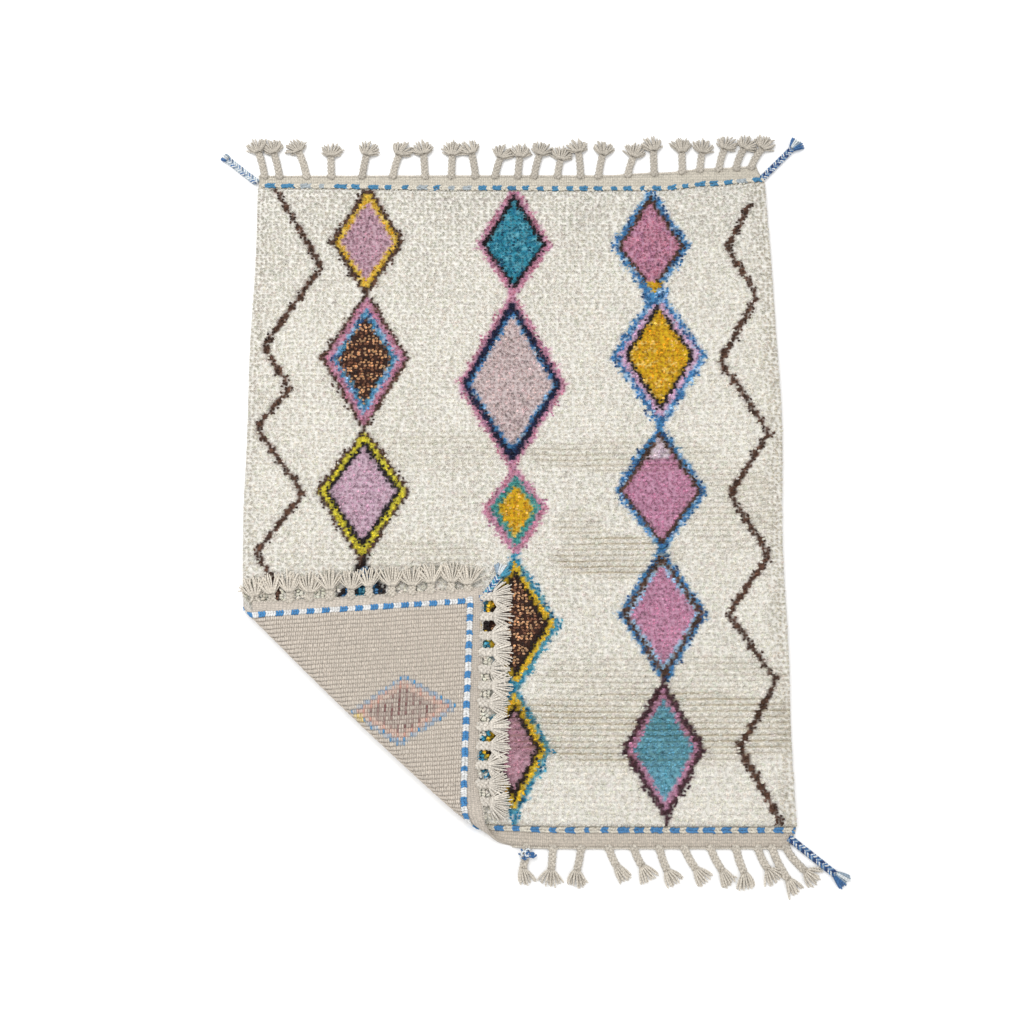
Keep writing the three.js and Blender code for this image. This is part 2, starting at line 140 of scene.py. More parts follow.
def easePlan(px, py):
    px = px * (1 - plan["sideTaper"] * py / plan["halfWidth"])
    px = px + plan["sideWave"] * np.sin(py / plan["sideWaveLength"]) * np.abs(px) / plan["halfWidth"]
    for swell in sideSwells:
        share = np.clip(swell["side"] * px / plan["halfWidth"], 0, 1) ** 2
        reach = np.exp(-((py - swell["at"]) ** 2) / (2 * swell["spread"] ** 2))
        px = px + swell["side"] * swell["push"] * share * reach
    away = (px - fold["easeAt"][0]) ** 2 + (py - fold["easeAt"][1]) ** 2
    push = fold["easePush"] * np.exp(-away / (2 * fold["easeSpread"] ** 2))
    return px + push * foldNormal[0], py + push * foldNormal[1]


def insetBand(x, y):
    nearShare = (pileStart - y) / (plan["nearBand"] + plan["dashWidth"])
    pileEdge = farEdgeAt(x, "dash") - plan["dashWidth"] / 2
    farShare = (y - pileEdge) / (farEdgeAt(x, "hem") - pileEdge)
    share = smooth(np.maximum(nearShare, farShare))
    across = smooth((x - plan["bandInsetFrom"]) / (plan["halfWidth"] - plan["bandInsetFrom"]))
    return x - plan["bandInset"] * share * across


# Where a point of the flat rug lies once its corner is folded over
def lay(x, y, h):
    x, y, h = np.broadcast_arrays(*(np.asarray(v, float) for v in (x, y, h)))
    depth = foldDepth(x, y)
    beyond = np.maximum(depth - foldLength, 0)
    top = flapHeight(x, y, beyond)
    atHem = 1 - smooth((y - plan["nearHem"]) / plan["nearBand"])
    pull = fold["bandPull"] * atHem * smooth(beyond / fold["droopFall"])
    turned = np.clip(depth, 0, foldLength)
    turn = turned / fold["radius"]
    out = turned - (top / 2 - h) * np.sin(turn)
    isTurn = (depth > 0) & (depth <= foldLength)
    isFlap = depth > foldLength
    reach = np.where(isFlap, 2 * beyond + foldLength, np.where(isTurn, out, 0))
    px = insetBand(x, y) + foldNormal[0] * reach + np.where(isFlap, tipShift[0] * beyond - pull, 0)
    py = y + foldNormal[1] * reach + np.where(isFlap, tipShift[1] * beyond, 0)
    turnHeight = top / 2 - (top / 2 - h) * np.cos(turn)
    pz = np.where(isFlap, top - h, np.where(isTurn, turnHeight, h))
    px, py = easePlan(px, py)
    return np.stack([px, py, pz], axis=-1)


def clothUp(x, y):
    return unit(lay(x, y, 0.010) - lay(x, y, 0.0))


# Wool colours, sRGB

wool = {
    "ivory": (236, 233, 225),
    "brown": (90, 64, 50),
    "darkBrown": (42, 25, 20),
    "plum": (84, 52, 60),
    "nearBlack": (32, 24, 30),
    "navy": (30, 34, 66),
    "mauve": (206, 180, 194),
    "rose": (201, 147, 167),
    "dustyPink": (196, 156, 169),
    "softPink": (199, 167, 179),
    "paleLilac": (212, 200, 208),
    "softBlue": (92, 158, 190),
    "magenta": (199, 150, 175),
    "palePink": (209, 194, 193),
    "lilac": (214, 184, 206),
    "gold": (213, 174, 33),
    "lemon": (220, 210, 70),
    "sunYellow": (226, 194, 50),
    "ochre": (224, 194, 78),
    "deepTeal": (52, 144, 166),
    "turquoise": (55, 149, 181),
    "softTurquoise": (120, 176, 192),
    "outlineBlue": (80, 143, 189),
    "paleBlue": (172, 200, 222),
    "teal": (78, 160, 156),
    "mottled": (64, 40, 32),
    "tan": (224, 188, 148),
    "lightBrown": (116, 84, 68),
    "rust": (158, 112, 84),
    "greige": (194, 187, 173),
    "nearGreige": (189, 179, 166),
    "back": (198, 188, 176),
    "dashBlue": (70, 128, 178),
    "dashWhite": (212, 212, 211),
    "dashFront": (72, 122, 168),
    "dashTeal": (68, 122, 158),
    "dashIvory": (198, 192, 179),
    "paleYarn": (214, 207, 196),
    "cordBlue": (58, 102, 152),
    "cordWhite": (208, 213, 215),
    "cordGrey": (142, 160, 176),
    "cordNavy": (38, 62, 106),
    "yarn": (202, 194, 181),
    "cordTeal": (72, 148, 176),
    "ghostPeach": (200, 152, 138),
    "ghostPlum": (116, 70, 70),
    "streakTeal": (104, 171, 186),
    "darkTeal": (24, 104, 140),
    "paleGold": (236, 208, 120),
    "darkBlue": (50, 94, 142),
}


def linearColor(name):
    values = np.array(wool[name]) / 255
    return np.where(values <= 0.04045, values / 12.92, ((values + 0.055) / 1.055) ** 2.4)


woolNames = list(wool)
woolTable = np.array([linearColor(name) for name in woolNames])


def woolIndex(name):
    return woolNames.index(name)


# Diamonds of the front: place, half width, reach up and down, and rings from outside in with their widths

motifs = [
    {"at": (-0.337, 0.600), "half": 0.086, "up": 0.137, "down": 0.129, "inner": "softPink",
     "rings": [("brown", 0.012), ("ochre", 0.013)]},
    {"at": (-0.335, 0.317), "half": 0.102, "up": 0.154, "down": 0.167, "inner": "mottled",
     "rings": [("brown", 0.010), ("rose", 0.015), ("softBlue", 0.014)]},
    {"at": (-0.333, 0.007), "half": 0.107, "up": 0.141, "down": 0.156, "inner": "mauve",
     "rings": [("brown", 0.010), ("lemon", 0.011), ("nearBlack", 0.013)]},
    {"at": (-0.328, -0.308), "half": 0.109, "up": 0.157, "down": 0.153, "inner": "turquoise",
     "rings": [("darkBrown", 0.012), ("outlineBlue", 0.014), ("nearBlack", 0.012)]},
    {"at": (0.005, 0.592), "half": 0.088, "up": 0.144, "down": 0.123, "inner": "deepTeal",
     "rings": [("rose", 0.013), ("nearBlack", 0.012)]},
    {"at": (0.000, 0.255), "half": 0.125, "up": 0.216, "down": 0.197, "inner": "palePink",
     "rings": [("rose", 0.011), ("navy", 0.015), ("outlineBlue", 0.007)]},
    {"at": (0.008, -0.031), "half": 0.073, "up": 0.089, "down": 0.111, "inner": "gold",
     "rings": [("rose", 0.017), ("teal", 0.014)]},
    {"at": (0.007, -0.289), "half": 0.098, "up": 0.149, "down": 0.149, "inner": "mottled",
     "rings": [("turquoise", 0.013), ("sunYellow", 0.011), ("darkBrown", 0.012)]},
    {"at": (0.004, -0.561), "half": 0.082, "up": 0.136, "down": 0.142, "inner": "dustyPink",
     "rings": [("turquoise", 0.012), ("sunYellow", 0.012), ("darkBrown", 0.012)]},
    {"at": (0.323, 0.588), "half": 0.091, "up": 0.139, "down": 0.125, "inner": "rose",
     "rings": [("outlineBlue", 0.013), ("brown", 0.011)]},
    {"at": (0.336, 0.324), "half": 0.109, "up": 0.156, "down": 0.168, "inner": "gold",
     "rings": [("outlineBlue", 0.015), ("lilac", 0.012), ("nearBlack", 0.011)]},
    {"at": (0.333, 0.009), "half": 0.105, "up": 0.148, "down": 0.135, "inner": "magenta",
     "rings": [("outlineBlue", 0.013), ("brown", 0.011)]},
    {"at": (0.331, -0.266), "half": 0.099, "up": 0.138, "down": 0.150, "inner": "magenta",
     "rings": [("outlineBlue", 0.009), ("brown", 0.011), ("paleBlue", 0.007)]},
    {"at": (0.327, -0.559), "half": 0.091, "up": 0.141, "down": 0.146, "inner": "softTurquoise",
     "rings": [("plum", 0.014), ("magenta", 0.012)]},
]
zigzags = [
    {"width": 0.0165, "x": [-0.554, -0.441, -0.567, -0.504, -0.578, -0.467, -0.567, -0.515, -0.530],
     "y": [0.730, 0.538, 0.346, 0.244, 0.155, 0.004, -0.132, -0.211, -0.300]},
    {"width": 0.0165, "x": [0.557, 0.500, 0.564, 0.476, 0.580, 0.486, 0.570, 0.475, 0.574, 0.490, 0.578],
     "y": [0.695, 0.585, 0.467, 0.310, 0.142, 0.001, -0.137, -0.267, -0.414, -0.557, -0.724]},
]
patches = [
    {"at": (0.328, 0.474), "size": (0.030, 0.030), "wool": "outlineBlue", "pointed": False},
    {"at": (0.328, 0.487), "size": (0.024, 0.014), "wool": "gold", "pointed": True},
    {"at": (0.333, 0.110), "size": (0.026, -0.024), "wool": "paleLilac", "pointed": True},
]
ghost = {
    "at": (-0.362, -0.608),
    "acrossHalf": 0.077,
    "alongHalf": 0.106,
    "rings": [("outlineBlue", 0.014), ("ghostPeach", 0.022)],
    "inner": "ghostPlum",
    "ringShow": 0.55,
    "innerShow": 0.42,
    "spot": (-0.352, -0.523, 0.011),
    "spotShow": 0.7,
}
tipNub = {"half": 0.006, "reach": 0.003, "grow": 0.008}
edgeStray = 0.008
edgeStrayShare = 0.16
jag = {"push": 0.0028, "pitch": 0.0033, "drift": 0.031}

# Wools with a share of knots of another wool
flecks = [
    ("deepTeal", "streakTeal", 0.30),
    ("deepTeal", "darkTeal", 0.22),
    ("gold", "paleGold", 0.12),
    ("softTurquoise", "streakTeal", 0.12),
    ("outlineBlue", "darkBlue", 0.22),
    ("outlineBlue", "paleBlue", 0.18),
    ("rose", "magenta", 0.30),
    ("ochre", "paleGold", 0.16),
    ("ochre", "gold", 0.16),
    ("turquoise", "streakTeal", 0.30),
    ("turquoise", "darkTeal", 0.16),
    ("softBlue", "paleBlue", 0.26),
    ("softBlue", "darkBlue", 0.16),
    ("brown", "lightBrown", 0.22),
]


def ringsByDepth(shades, inside, depthIn, rings, inner):
    shades[inside] = inner
    start = 0.0
    for name, width in rings:
        shades[inside & (depthIn >= start) & (depthIn < start + width)] = woolIndex(name)
        start += width
    return start


# The wool of each knot of the front, at places x, y of the laid rug
def frontWool(x, y, rng):
    shades = np.full(x.shape, woolIndex("ivory"))
    for line in zigzags:
        order = np.argsort(line["y"])
        ys, xs = np.array(line["y"])[order], np.array(line["x"])[order]
        ahead = np.interp(y + 0.006, ys, xs)
        behind = np.interp(y - 0.006, ys, xs)
        pushed = jag["push"] * np.sin(y / jag["pitch"] + 2 * np.sin(y / jag["drift"]))
        half = np.maximum(line["width"] / 2, np.abs(ahead - behind) * 0.55)
        onLine = (np.abs(x - pushed - (ahead + behind) / 2) < half) & (y > ys[0]) & (y < ys[-1])
        shades[onLine] = woolIndex("brown")
    stray = rng.random(x.shape)
    for motif in motifs:
        dx, dy = x - motif["at"][0], y - motif["at"][1]
        tall = np.where(dy > 0, motif["up"], motif["down"]) + tipNub["grow"]
        away = np.abs(dx) / motif["half"] + np.abs(dy) / tall
        depthIn = (1 - away) * motif["half"]
        depthIn = np.where((depthIn < 0) & (depthIn > -edgeStray) & (stray < edgeStrayShare), 0.0, depthIn)
        inside = depthIn >= 0
        onNub = (np.abs(dx) < tipNub["half"]) & (np.abs(dy) < tall + tipNub["reach"])
        shades[onNub] = woolIndex(motif["rings"][0][0])
        ringsByDepth(shades, inside, depthIn, motif["rings"], woolIndex(motif["inner"]))
    for patch in patches:
        across, up = (x - patch["at"][0]) / patch["size"][0], (y - patch["at"][1]) / patch["size"][1]
        inPatch = np.hypot(across, up) < 1
        if patch["pointed"]:
            inPatch = (np.abs(up) < 1) & (np.abs(across) < (up + 1) / 2)
        shades[inPatch] = woolIndex(patch["wool"])
    for name, other, share in flecks:
        shades[(shades == woolIndex(name)) & (rng.random(x.shape) < share)] = woolIndex(other)
    return shades


# Mottled places mix dark brown, rust and tan ends, in streaks along the rows
def mixMottled(shades, x, y, rng):
    streak = 0.5 + 0.5 * np.sin(y / 0.0046 + 1.6 * np.sin(x / 0.023))
    pick = 0.6 * rng.random(x.shape) + 0.9 * streak
    mixed = np.where(pick > 0.70, woolIndex("tan"), np.where(pick > 0.40, woolIndex("rust"), woolIndex("mottled")))
    return np.where(shades == woolIndex("mottled"), mixed, shades)


# The woven back shows the corner's diamond faintly: its colour and how strongly it shows
def backWool(x, y):
    shades = np.full(x.shape, woolIndex("back"))
    away = np.abs(x - ghost["at"][0]) / ghost["acrossHalf"] + np.abs(y - ghost["at"][1]) / ghost["alongHalf"]
    depthIn = (1 - away) * ghost["alongHalf"]
    inside = depthIn >= 0
    start = ringsByDepth(shades, inside, depthIn, ghost["rings"], woolIndex(ghost["inner"]))
    shows = np.where(inside, ghost["ringShow"], 0.0)
    shows[inside & (depthIn >= start)] = ghost["innerShow"]
    spotX, spotY, spotSize = ghost["spot"]
    onSpot = np.hypot(x - spotX, y - spotY) < spotSize
    shades[onSpot] = woolIndex("ochre")
    shows[onSpot] = ghost["spotShow"]
    return shades, shows


# Node helpers

def addNode(tree, kind, inputs=None, **settings):
    made = tree.nodes.new(kind)
    for name, value in settings.items():
        setattr(made, name, value)
    for socket, value in (inputs or {}).items():
        if isinstance(value, bpy.types.NodeSocket):
            tree.links.new(value, made.inputs[socket])
        else:
            made.inputs[socket].default_value = value
    return made


def mathNode(tree, operation, a, b=0.0, c=0.0):
    return addNode(tree, "ShaderNodeMath", {0: a, 1: b, 2: c}, operation=operation).outputs[0]


def newTree(name, kind, inputs, outputs):
    tree = bpy.data.node_groups.new(name, kind)
    for label, socketType, value in inputs:
        socket = tree.interface.new_socket(label, in_out="INPUT", socket_type=socketType)
        if value is not None:
            socket.default_value = value
    for label, socketType in outputs:
        tree.interface.new_socket(label, in_out="OUTPUT", socket_type=socketType)
    return tree, tree.nodes.new("NodeGroupInput").outputs, tree.nodes.new("NodeGroupOutput").inputs


# Shader groups: wool fibre, the two-way weave, and a yarn's twist; the weave and the twist darken their hollows as
# painted shade

def makeWoolFibre():
    tree, given, result = newTree("woolFibre", "ShaderNodeTree", [
        ("Vector", "NodeSocketVector", None),
        ("Fine scale", "NodeSocketFloat", 250.0),
        ("Coarse scale", "NodeSocketFloat", 520.0),
    ], [("Shade", "NodeSocketFloat"), ("Height", "NodeSocketFloat")])
    fine = addNode(tree, "ShaderNodeTexNoise", {
        "Vector": given["Vector"], "Scale": given["Fine scale"], "Detail": 2.0, "Roughness": 0.6})
    coarse = addNode(tree, "ShaderNodeTexNoise", {
        "Vector": given["Vector"], "Scale": given["Coarse scale"], "Detail": 2.0})
    both = mathNode(tree, "MULTIPLY_ADD", fine.outputs[0], 0.6, mathNode(tree, "MULTIPLY", coarse.outputs[0], 0.4))
    tree.links.new(both, result["Shade"])
    tree.links.new(fine.outputs[0], result["Height"])
    return tree


def makeWeave():
    tree, given, result = newTree("weave", "ShaderNodeTree", [
        ("Vector", "NodeSocketVector", None),
        ("Pitch across", "NodeSocketFloat", 0.0094),
        ("Pitch along", "NodeSocketFloat", 0.0044),
    ], [("Shade", "NodeSocketFloat"), ("Height", "NodeSocketFloat")])
    parts = addNode(tree, "ShaderNodeSeparateXYZ", {0: given["Vector"]}).outputs
    bumps = []
    for k, pitch in ((0, "Pitch across"), (1, "Pitch along")):
        turns = mathNode(tree, "DIVIDE", parts[k], given[pitch])
        wave = mathNode(tree, "SINE", mathNode(tree, "MULTIPLY", turns, math.pi))
        bumps.append(mathNode(tree, "POWER", mathNode(tree, "ABSOLUTE", wave), 0.6))
    height = mathNode(tree, "MULTIPLY", bumps[0], bumps[1])
    # Painted shade: the weave's colour is darker in the hollows between its crossings
    shade = mathNode(tree, "MULTIPLY_ADD", height, 0.30, 0.72)
    tree.links.new(height, result["Height"])
    tree.links.new(shade, result["Shade"])
    return tree


def makeTwist():
    tree, given, result = newTree("twist", "ShaderNodeTree", [
        ("Along", "NodeSocketFloat", 0.0),
        ("Round", "NodeSocketVector", None),
        ("Pitch", "NodeSocketFloat", 0.006),
    ], [("Shade", "NodeSocketFloat"), ("Height", "NodeSocketFloat")])
    turn = mathNode(tree, "MULTIPLY", mathNode(tree, "DIVIDE", given["Along"], given["Pitch"]), 2 * math.pi)
    parts = addNode(tree, "ShaderNodeSeparateXYZ", {0: given["Round"]}).outputs
    first = mathNode(tree, "MULTIPLY", mathNode(tree, "COSINE", turn), parts[0])
    second = mathNode(tree, "MULTIPLY", mathNode(tree, "SINE", turn), parts[1])
    ridge = mathNode(tree, "MULTIPLY_ADD", mathNode(tree, "ADD", first, second), 0.5, 0.5)
    tree.links.new(ridge, result["Height"])
    # Painted shade: the yarn's colour is darker in the groove of its twist
    tree.links.new(mathNode(tree, "MULTIPLY_ADD", ridge, 0.22, 0.80), result["Shade"])
    return tree


woolFibre = makeWoolFibre()
weave = makeWeave()
twist = makeTwist()


# Materials

# Finishes; for the pile, the first two numbers set the painted shade that darkens each lock towards its root
finishes = {
    "pile": {"paintedRootShade": 0.06, "rootShadeByFleck": 0.32, "lockContrast": 0.38, "fibreBump": 0.35, "variation": 0.65,
             "sheen": 0.08, "roughness": 0.95},
    "cloth": {"weavePitch": (0.0042, 0.0075), "fibreBump": 0.5, "weaveBump": 1.0, "variation": 0.34, "sheen": 0.12,
              "roughness": 0.95},
    "yarn": {"fibreBump": 0.35, "twistBump": 0.6, "variation": 0.36, "sheen": 0.15, "roughness": 0.92},
}


def startMaterial(name, finish):
    material = bpy.data.materials.new(name)
    material.use_nodes = True
    tree = material.node_tree
    shader = tree.nodes["Principled BSDF"]
    shader.inputs["Roughness"].default_value = finish["roughness"]
    shader.inputs["Sheen Weight"].default_value = finish["sheen"]
    shader.inputs["Sheen Roughness"].default_value = 0.6
    shader.inputs["Specular IOR Level"].default_value = 0.15
    color = addNode(tree, "ShaderNodeAttribute", attribute_name="yarnColor").outputs["Color"]
    place = addNode(tree, "ShaderNodeTexCoord").outputs["Object"]
    fibre = addNode(tree, "ShaderNodeGroup", node_tree=woolFibre)
    tree.links.new(place, fibre.inputs["Vector"])
    swing = addNode(tree, "ShaderNodeMapRange", {
        "Value": fibre.outputs["Shade"], "From Min": 0.3, "From Max": 0.7,
        "To Min": -finish["variation"], "To Max": finish["variation"]}).outputs[0]
    return material, tree, shader, color, fibre, swing


def finishMaterial(tree, shader, color, shade, heights):
    tinted = addNode(tree, "ShaderNodeVectorMath", {0: color, "Scale": shade}, operation="SCALE")
    tree.links.new(tinted.outputs[0], shader.inputs["Base Color"])
    normal = None
    for height, strength, distance in heights:
        bump = addNode(tree, "ShaderNodeBump", {"Height": height, "Strength": strength, "Distance": distance})
        if normal is not None:
            tree.links.new(normal, bump.inputs["Normal"])
        normal = bump.outputs["Normal"]
    tree.links.new(normal, shader.inputs["Normal"])


def makePileMaterial():
    finish = finishes["pile"]
    material, tree, shader, color, fibre, swing = startMaterial("woolPile", finish)
    fleckAndRootShade = addNode(tree, "ShaderNodeAttribute", attribute_name="fleckAndRootShade").outputs["Fac"]
    lockTone = addNode(tree, "ShaderNodeAttribute", attribute_name="lockTone").outputs["Fac"]
    change = mathNode(tree, "MULTIPLY_ADD", lockTone, finish["lockContrast"], swing)
    shade = mathNode(tree, "MULTIPLY_ADD", change, fleckAndRootShade, 1.0)
    # Painted shade: each lock's colour is darkened towards its root, more on coloured wool
    rise = addNode(tree, "ShaderNodeAttribute", attribute_name="rise").outputs["Fac"]
    fromTip = addNode(tree, "ShaderNodeMapRange", {
        "Value": rise, "From Min": 0.0, "From Max": 0.7, "To Min": 1.0, "To Max": 0.0}).outputs[0]
    darker = mathNode(tree, "MULTIPLY_ADD", fleckAndRootShade, finish["rootShadeByFleck"], finish["paintedRootShade"])
    root = mathNode(tree, "SUBTRACT", 1.0, mathNode(tree, "MULTIPLY", fromTip, darker))
    shade = mathNode(tree, "MULTIPLY", shade, root)
    finishMaterial(tree, shader, color, shade, [(fibre.outputs["Height"], finish["fibreBump"], 0.0014)])
    return material


def makeClothMaterial():
    finish = finishes["cloth"]
    material, tree, shader, color, fibre, swing = startMaterial("wovenCloth", finish)
    shade = mathNode(tree, "ADD", swing, 1.0)
    flat = addNode(tree, "ShaderNodeUVMap", uv_map="flat").outputs[0]
    woven = addNode(tree, "ShaderNodeGroup", node_tree=weave)
    tree.links.new(flat, woven.inputs["Vector"])
    woven.inputs["Pitch across"].default_value = finish["weavePitch"][0]
    woven.inputs["Pitch along"].default_value = finish["weavePitch"][1]
    shade = mathNode(tree, "MULTIPLY", shade, woven.outputs["Shade"])
    finishMaterial(tree, shader, color, shade, [
        (woven.outputs["Height"], finish["weaveBump"], 0.0010),
        (fibre.outputs["Height"], finish["fibreBump"], 0.0008)])
    return material


def makeYarnMaterial():
    finish = finishes["yarn"]
    material, tree, shader, color, fibre, swing = startMaterial("pliedYarn", finish)
    shade = mathNode(tree, "ADD", swing, 1.0)
    plied = addNode(tree, "ShaderNodeGroup", node_tree=twist)
    tree.links.new(addNode(tree, "ShaderNodeAttribute", attribute_name="along").outputs["Fac"], plied.inputs["Along"])
    tree.links.new(addNode(tree, "ShaderNodeAttribute", attribute_name="round").outputs["Vector"], plied.inputs["Round"])
    shade = mathNode(tree, "MULTIPLY", shade, plied.outputs["Shade"])
    finishMaterial(tree, shader, color, shade, [
        (plied.outputs["Height"], finish["twistBump"], 0.0009),
        (fibre.outputs["Height"], finish["fibreBump"], 0.0008)])
    return material


pileMaterial = makePileMaterial()
clothMaterial = makeClothMaterial()
yarnMaterial = makeYarnMaterial()
print("materials made")


# Geometry Nodes: a rounded lump on every point, for tufts, knot backs and stitches

def makeLumpTree():
    tree, given, result = newTree("lumpsOnPoints", "GeometryNodeTree", [
        ("Geometry", "NodeSocketGeometry", None),
        ("Width", "NodeSocketFloat", 0.010),
        ("Depth", "NodeSocketFloat", 0.008),
        ("Root width", "NodeSocketFloat", 0.7),
        ("Blunt", "NodeSocketFloat", 0.5),
        ("Uneven", "NodeSocketFloat", 0.15),
        ("Seed", "NodeSocketInt", 1),
        ("Material", "NodeSocketMaterial", None),
    ], [("Geometry", "NodeSocketGeometry")])
    ball = addNode(tree, "GeometryNodeMeshIcoSphere", {"Radius": 0.5, "Subdivisions": 1}).outputs[0]
    parts = addNode(tree, "ShaderNodeSeparateXYZ", {0: addNode(tree, "GeometryNodeInputPosition").outputs[0]}).outputs
    shoulder = 0.2236        # height of the ball's upper ring of points
    root = addNode(tree, "ShaderNodeMapRange", {
        "Value": parts[2], "From Min": -0.5, "From Max": shoulder, "To Min": given["Root width"], "To Max": 1.0})
    over = mathNode(tree, "MAXIMUM", mathNode(tree, "SUBTRACT", parts[2], shoulder), 0.0)
    lowered = mathNode(tree, "SUBTRACT", parts[2], mathNode(tree, "MULTIPLY", over, given["Blunt"]))
    topAt = mathNode(tree, "SUBTRACT", 1.0, mathNode(tree, "MULTIPLY", given["Blunt"], 0.5 - shoulder))
    rise = mathNode(tree, "DIVIDE", mathNode(tree, "ADD", lowered, 0.5), topAt)
    shaped = addNode(tree, "ShaderNodeCombineXYZ", {
        0: mathNode(tree, "MULTIPLY", parts[0], root.outputs[0]),
        1: mathNode(tree, "MULTIPLY", parts[1], root.outputs[0]),
        2: rise})
    lump = addNode(tree, "GeometryNodeSetPosition", {"Geometry": ball, "Position": shaped.outputs[0]}).outputs[0]
    height = addNode(tree, "ShaderNodeSeparateXYZ", {0: addNode(tree, "GeometryNodeInputPosition").outputs[0]}).outputs[2]
    lump = addNode(tree, "GeometryNodeStoreNamedAttribute", {"Geometry": lump, "Name": "rise", "Value": height},
                   data_type="FLOAT", domain="POINT").outputs[0]
    lump = addNode(tree, "GeometryNodeSetShadeSmooth", {"Geometry": lump}).outputs[0]
    growth = addNode(tree, "GeometryNodeInputNamedAttribute", {"Name": "growth"}, data_type="FLOAT_VECTOR").outputs[0]
    facing = addNode(tree, "GeometryNodeInputNamedAttribute", {"Name": "facing"}, data_type="FLOAT").outputs[0]
    upright = addNode(tree, "FunctionNodeAlignRotationToVector", {"Vector": growth}, axis="Z").outputs[0]
    spin = addNode(tree, "FunctionNodeAxisAngleToRotation", {"Angle": facing}).outputs[0]
    turned = addNode(tree, "FunctionNodeRotateRotation", {"Rotation": upright, "Rotate By": spin},
                     rotation_space="LOCAL").outputs[0]
    uneven = addNode(tree, "FunctionNodeRandomValue", {"Seed": given["Seed"]}, data_type="FLOAT")
    tree.links.new(mathNode(tree, "SUBTRACT", 1.0, given["Uneven"]), uneven.inputs[2])
    tree.links.new(mathNode(tree, "ADD", 1.0, given["Uneven"]), uneven.inputs[3])
    length = addNode(tree, "ShaderNodeVectorMath", {0: growth}, operation="LENGTH").outputs[1]
    scale = addNode(tree, "ShaderNodeCombineXYZ", {
        0: mathNode(tree, "MULTIPLY", given["Width"], uneven.outputs[1]),
        1: mathNode(tree, "MULTIPLY", given["Depth"], uneven.outputs[1]),
        2: length})
    placed = addNode(tree, "GeometryNodeInstanceOnPoints", {
        "Points": given["Geometry"], "Instance": lump, "Rotation": turned, "Scale": scale.outputs[0]})
    real = addNode(tree, "GeometryNodeRealizeInstances", {"Geometry": placed.outputs[0]})
    painted = addNode(tree, "GeometryNodeSetMaterial", {"Geometry": real.outputs[0], "Material": given["Material"]})
    tree.links.new(painted.outputs[0], result["Geometry"])
    return tree


# Geometry Nodes: on every point a cut yarn end, opened into a few locks of wool

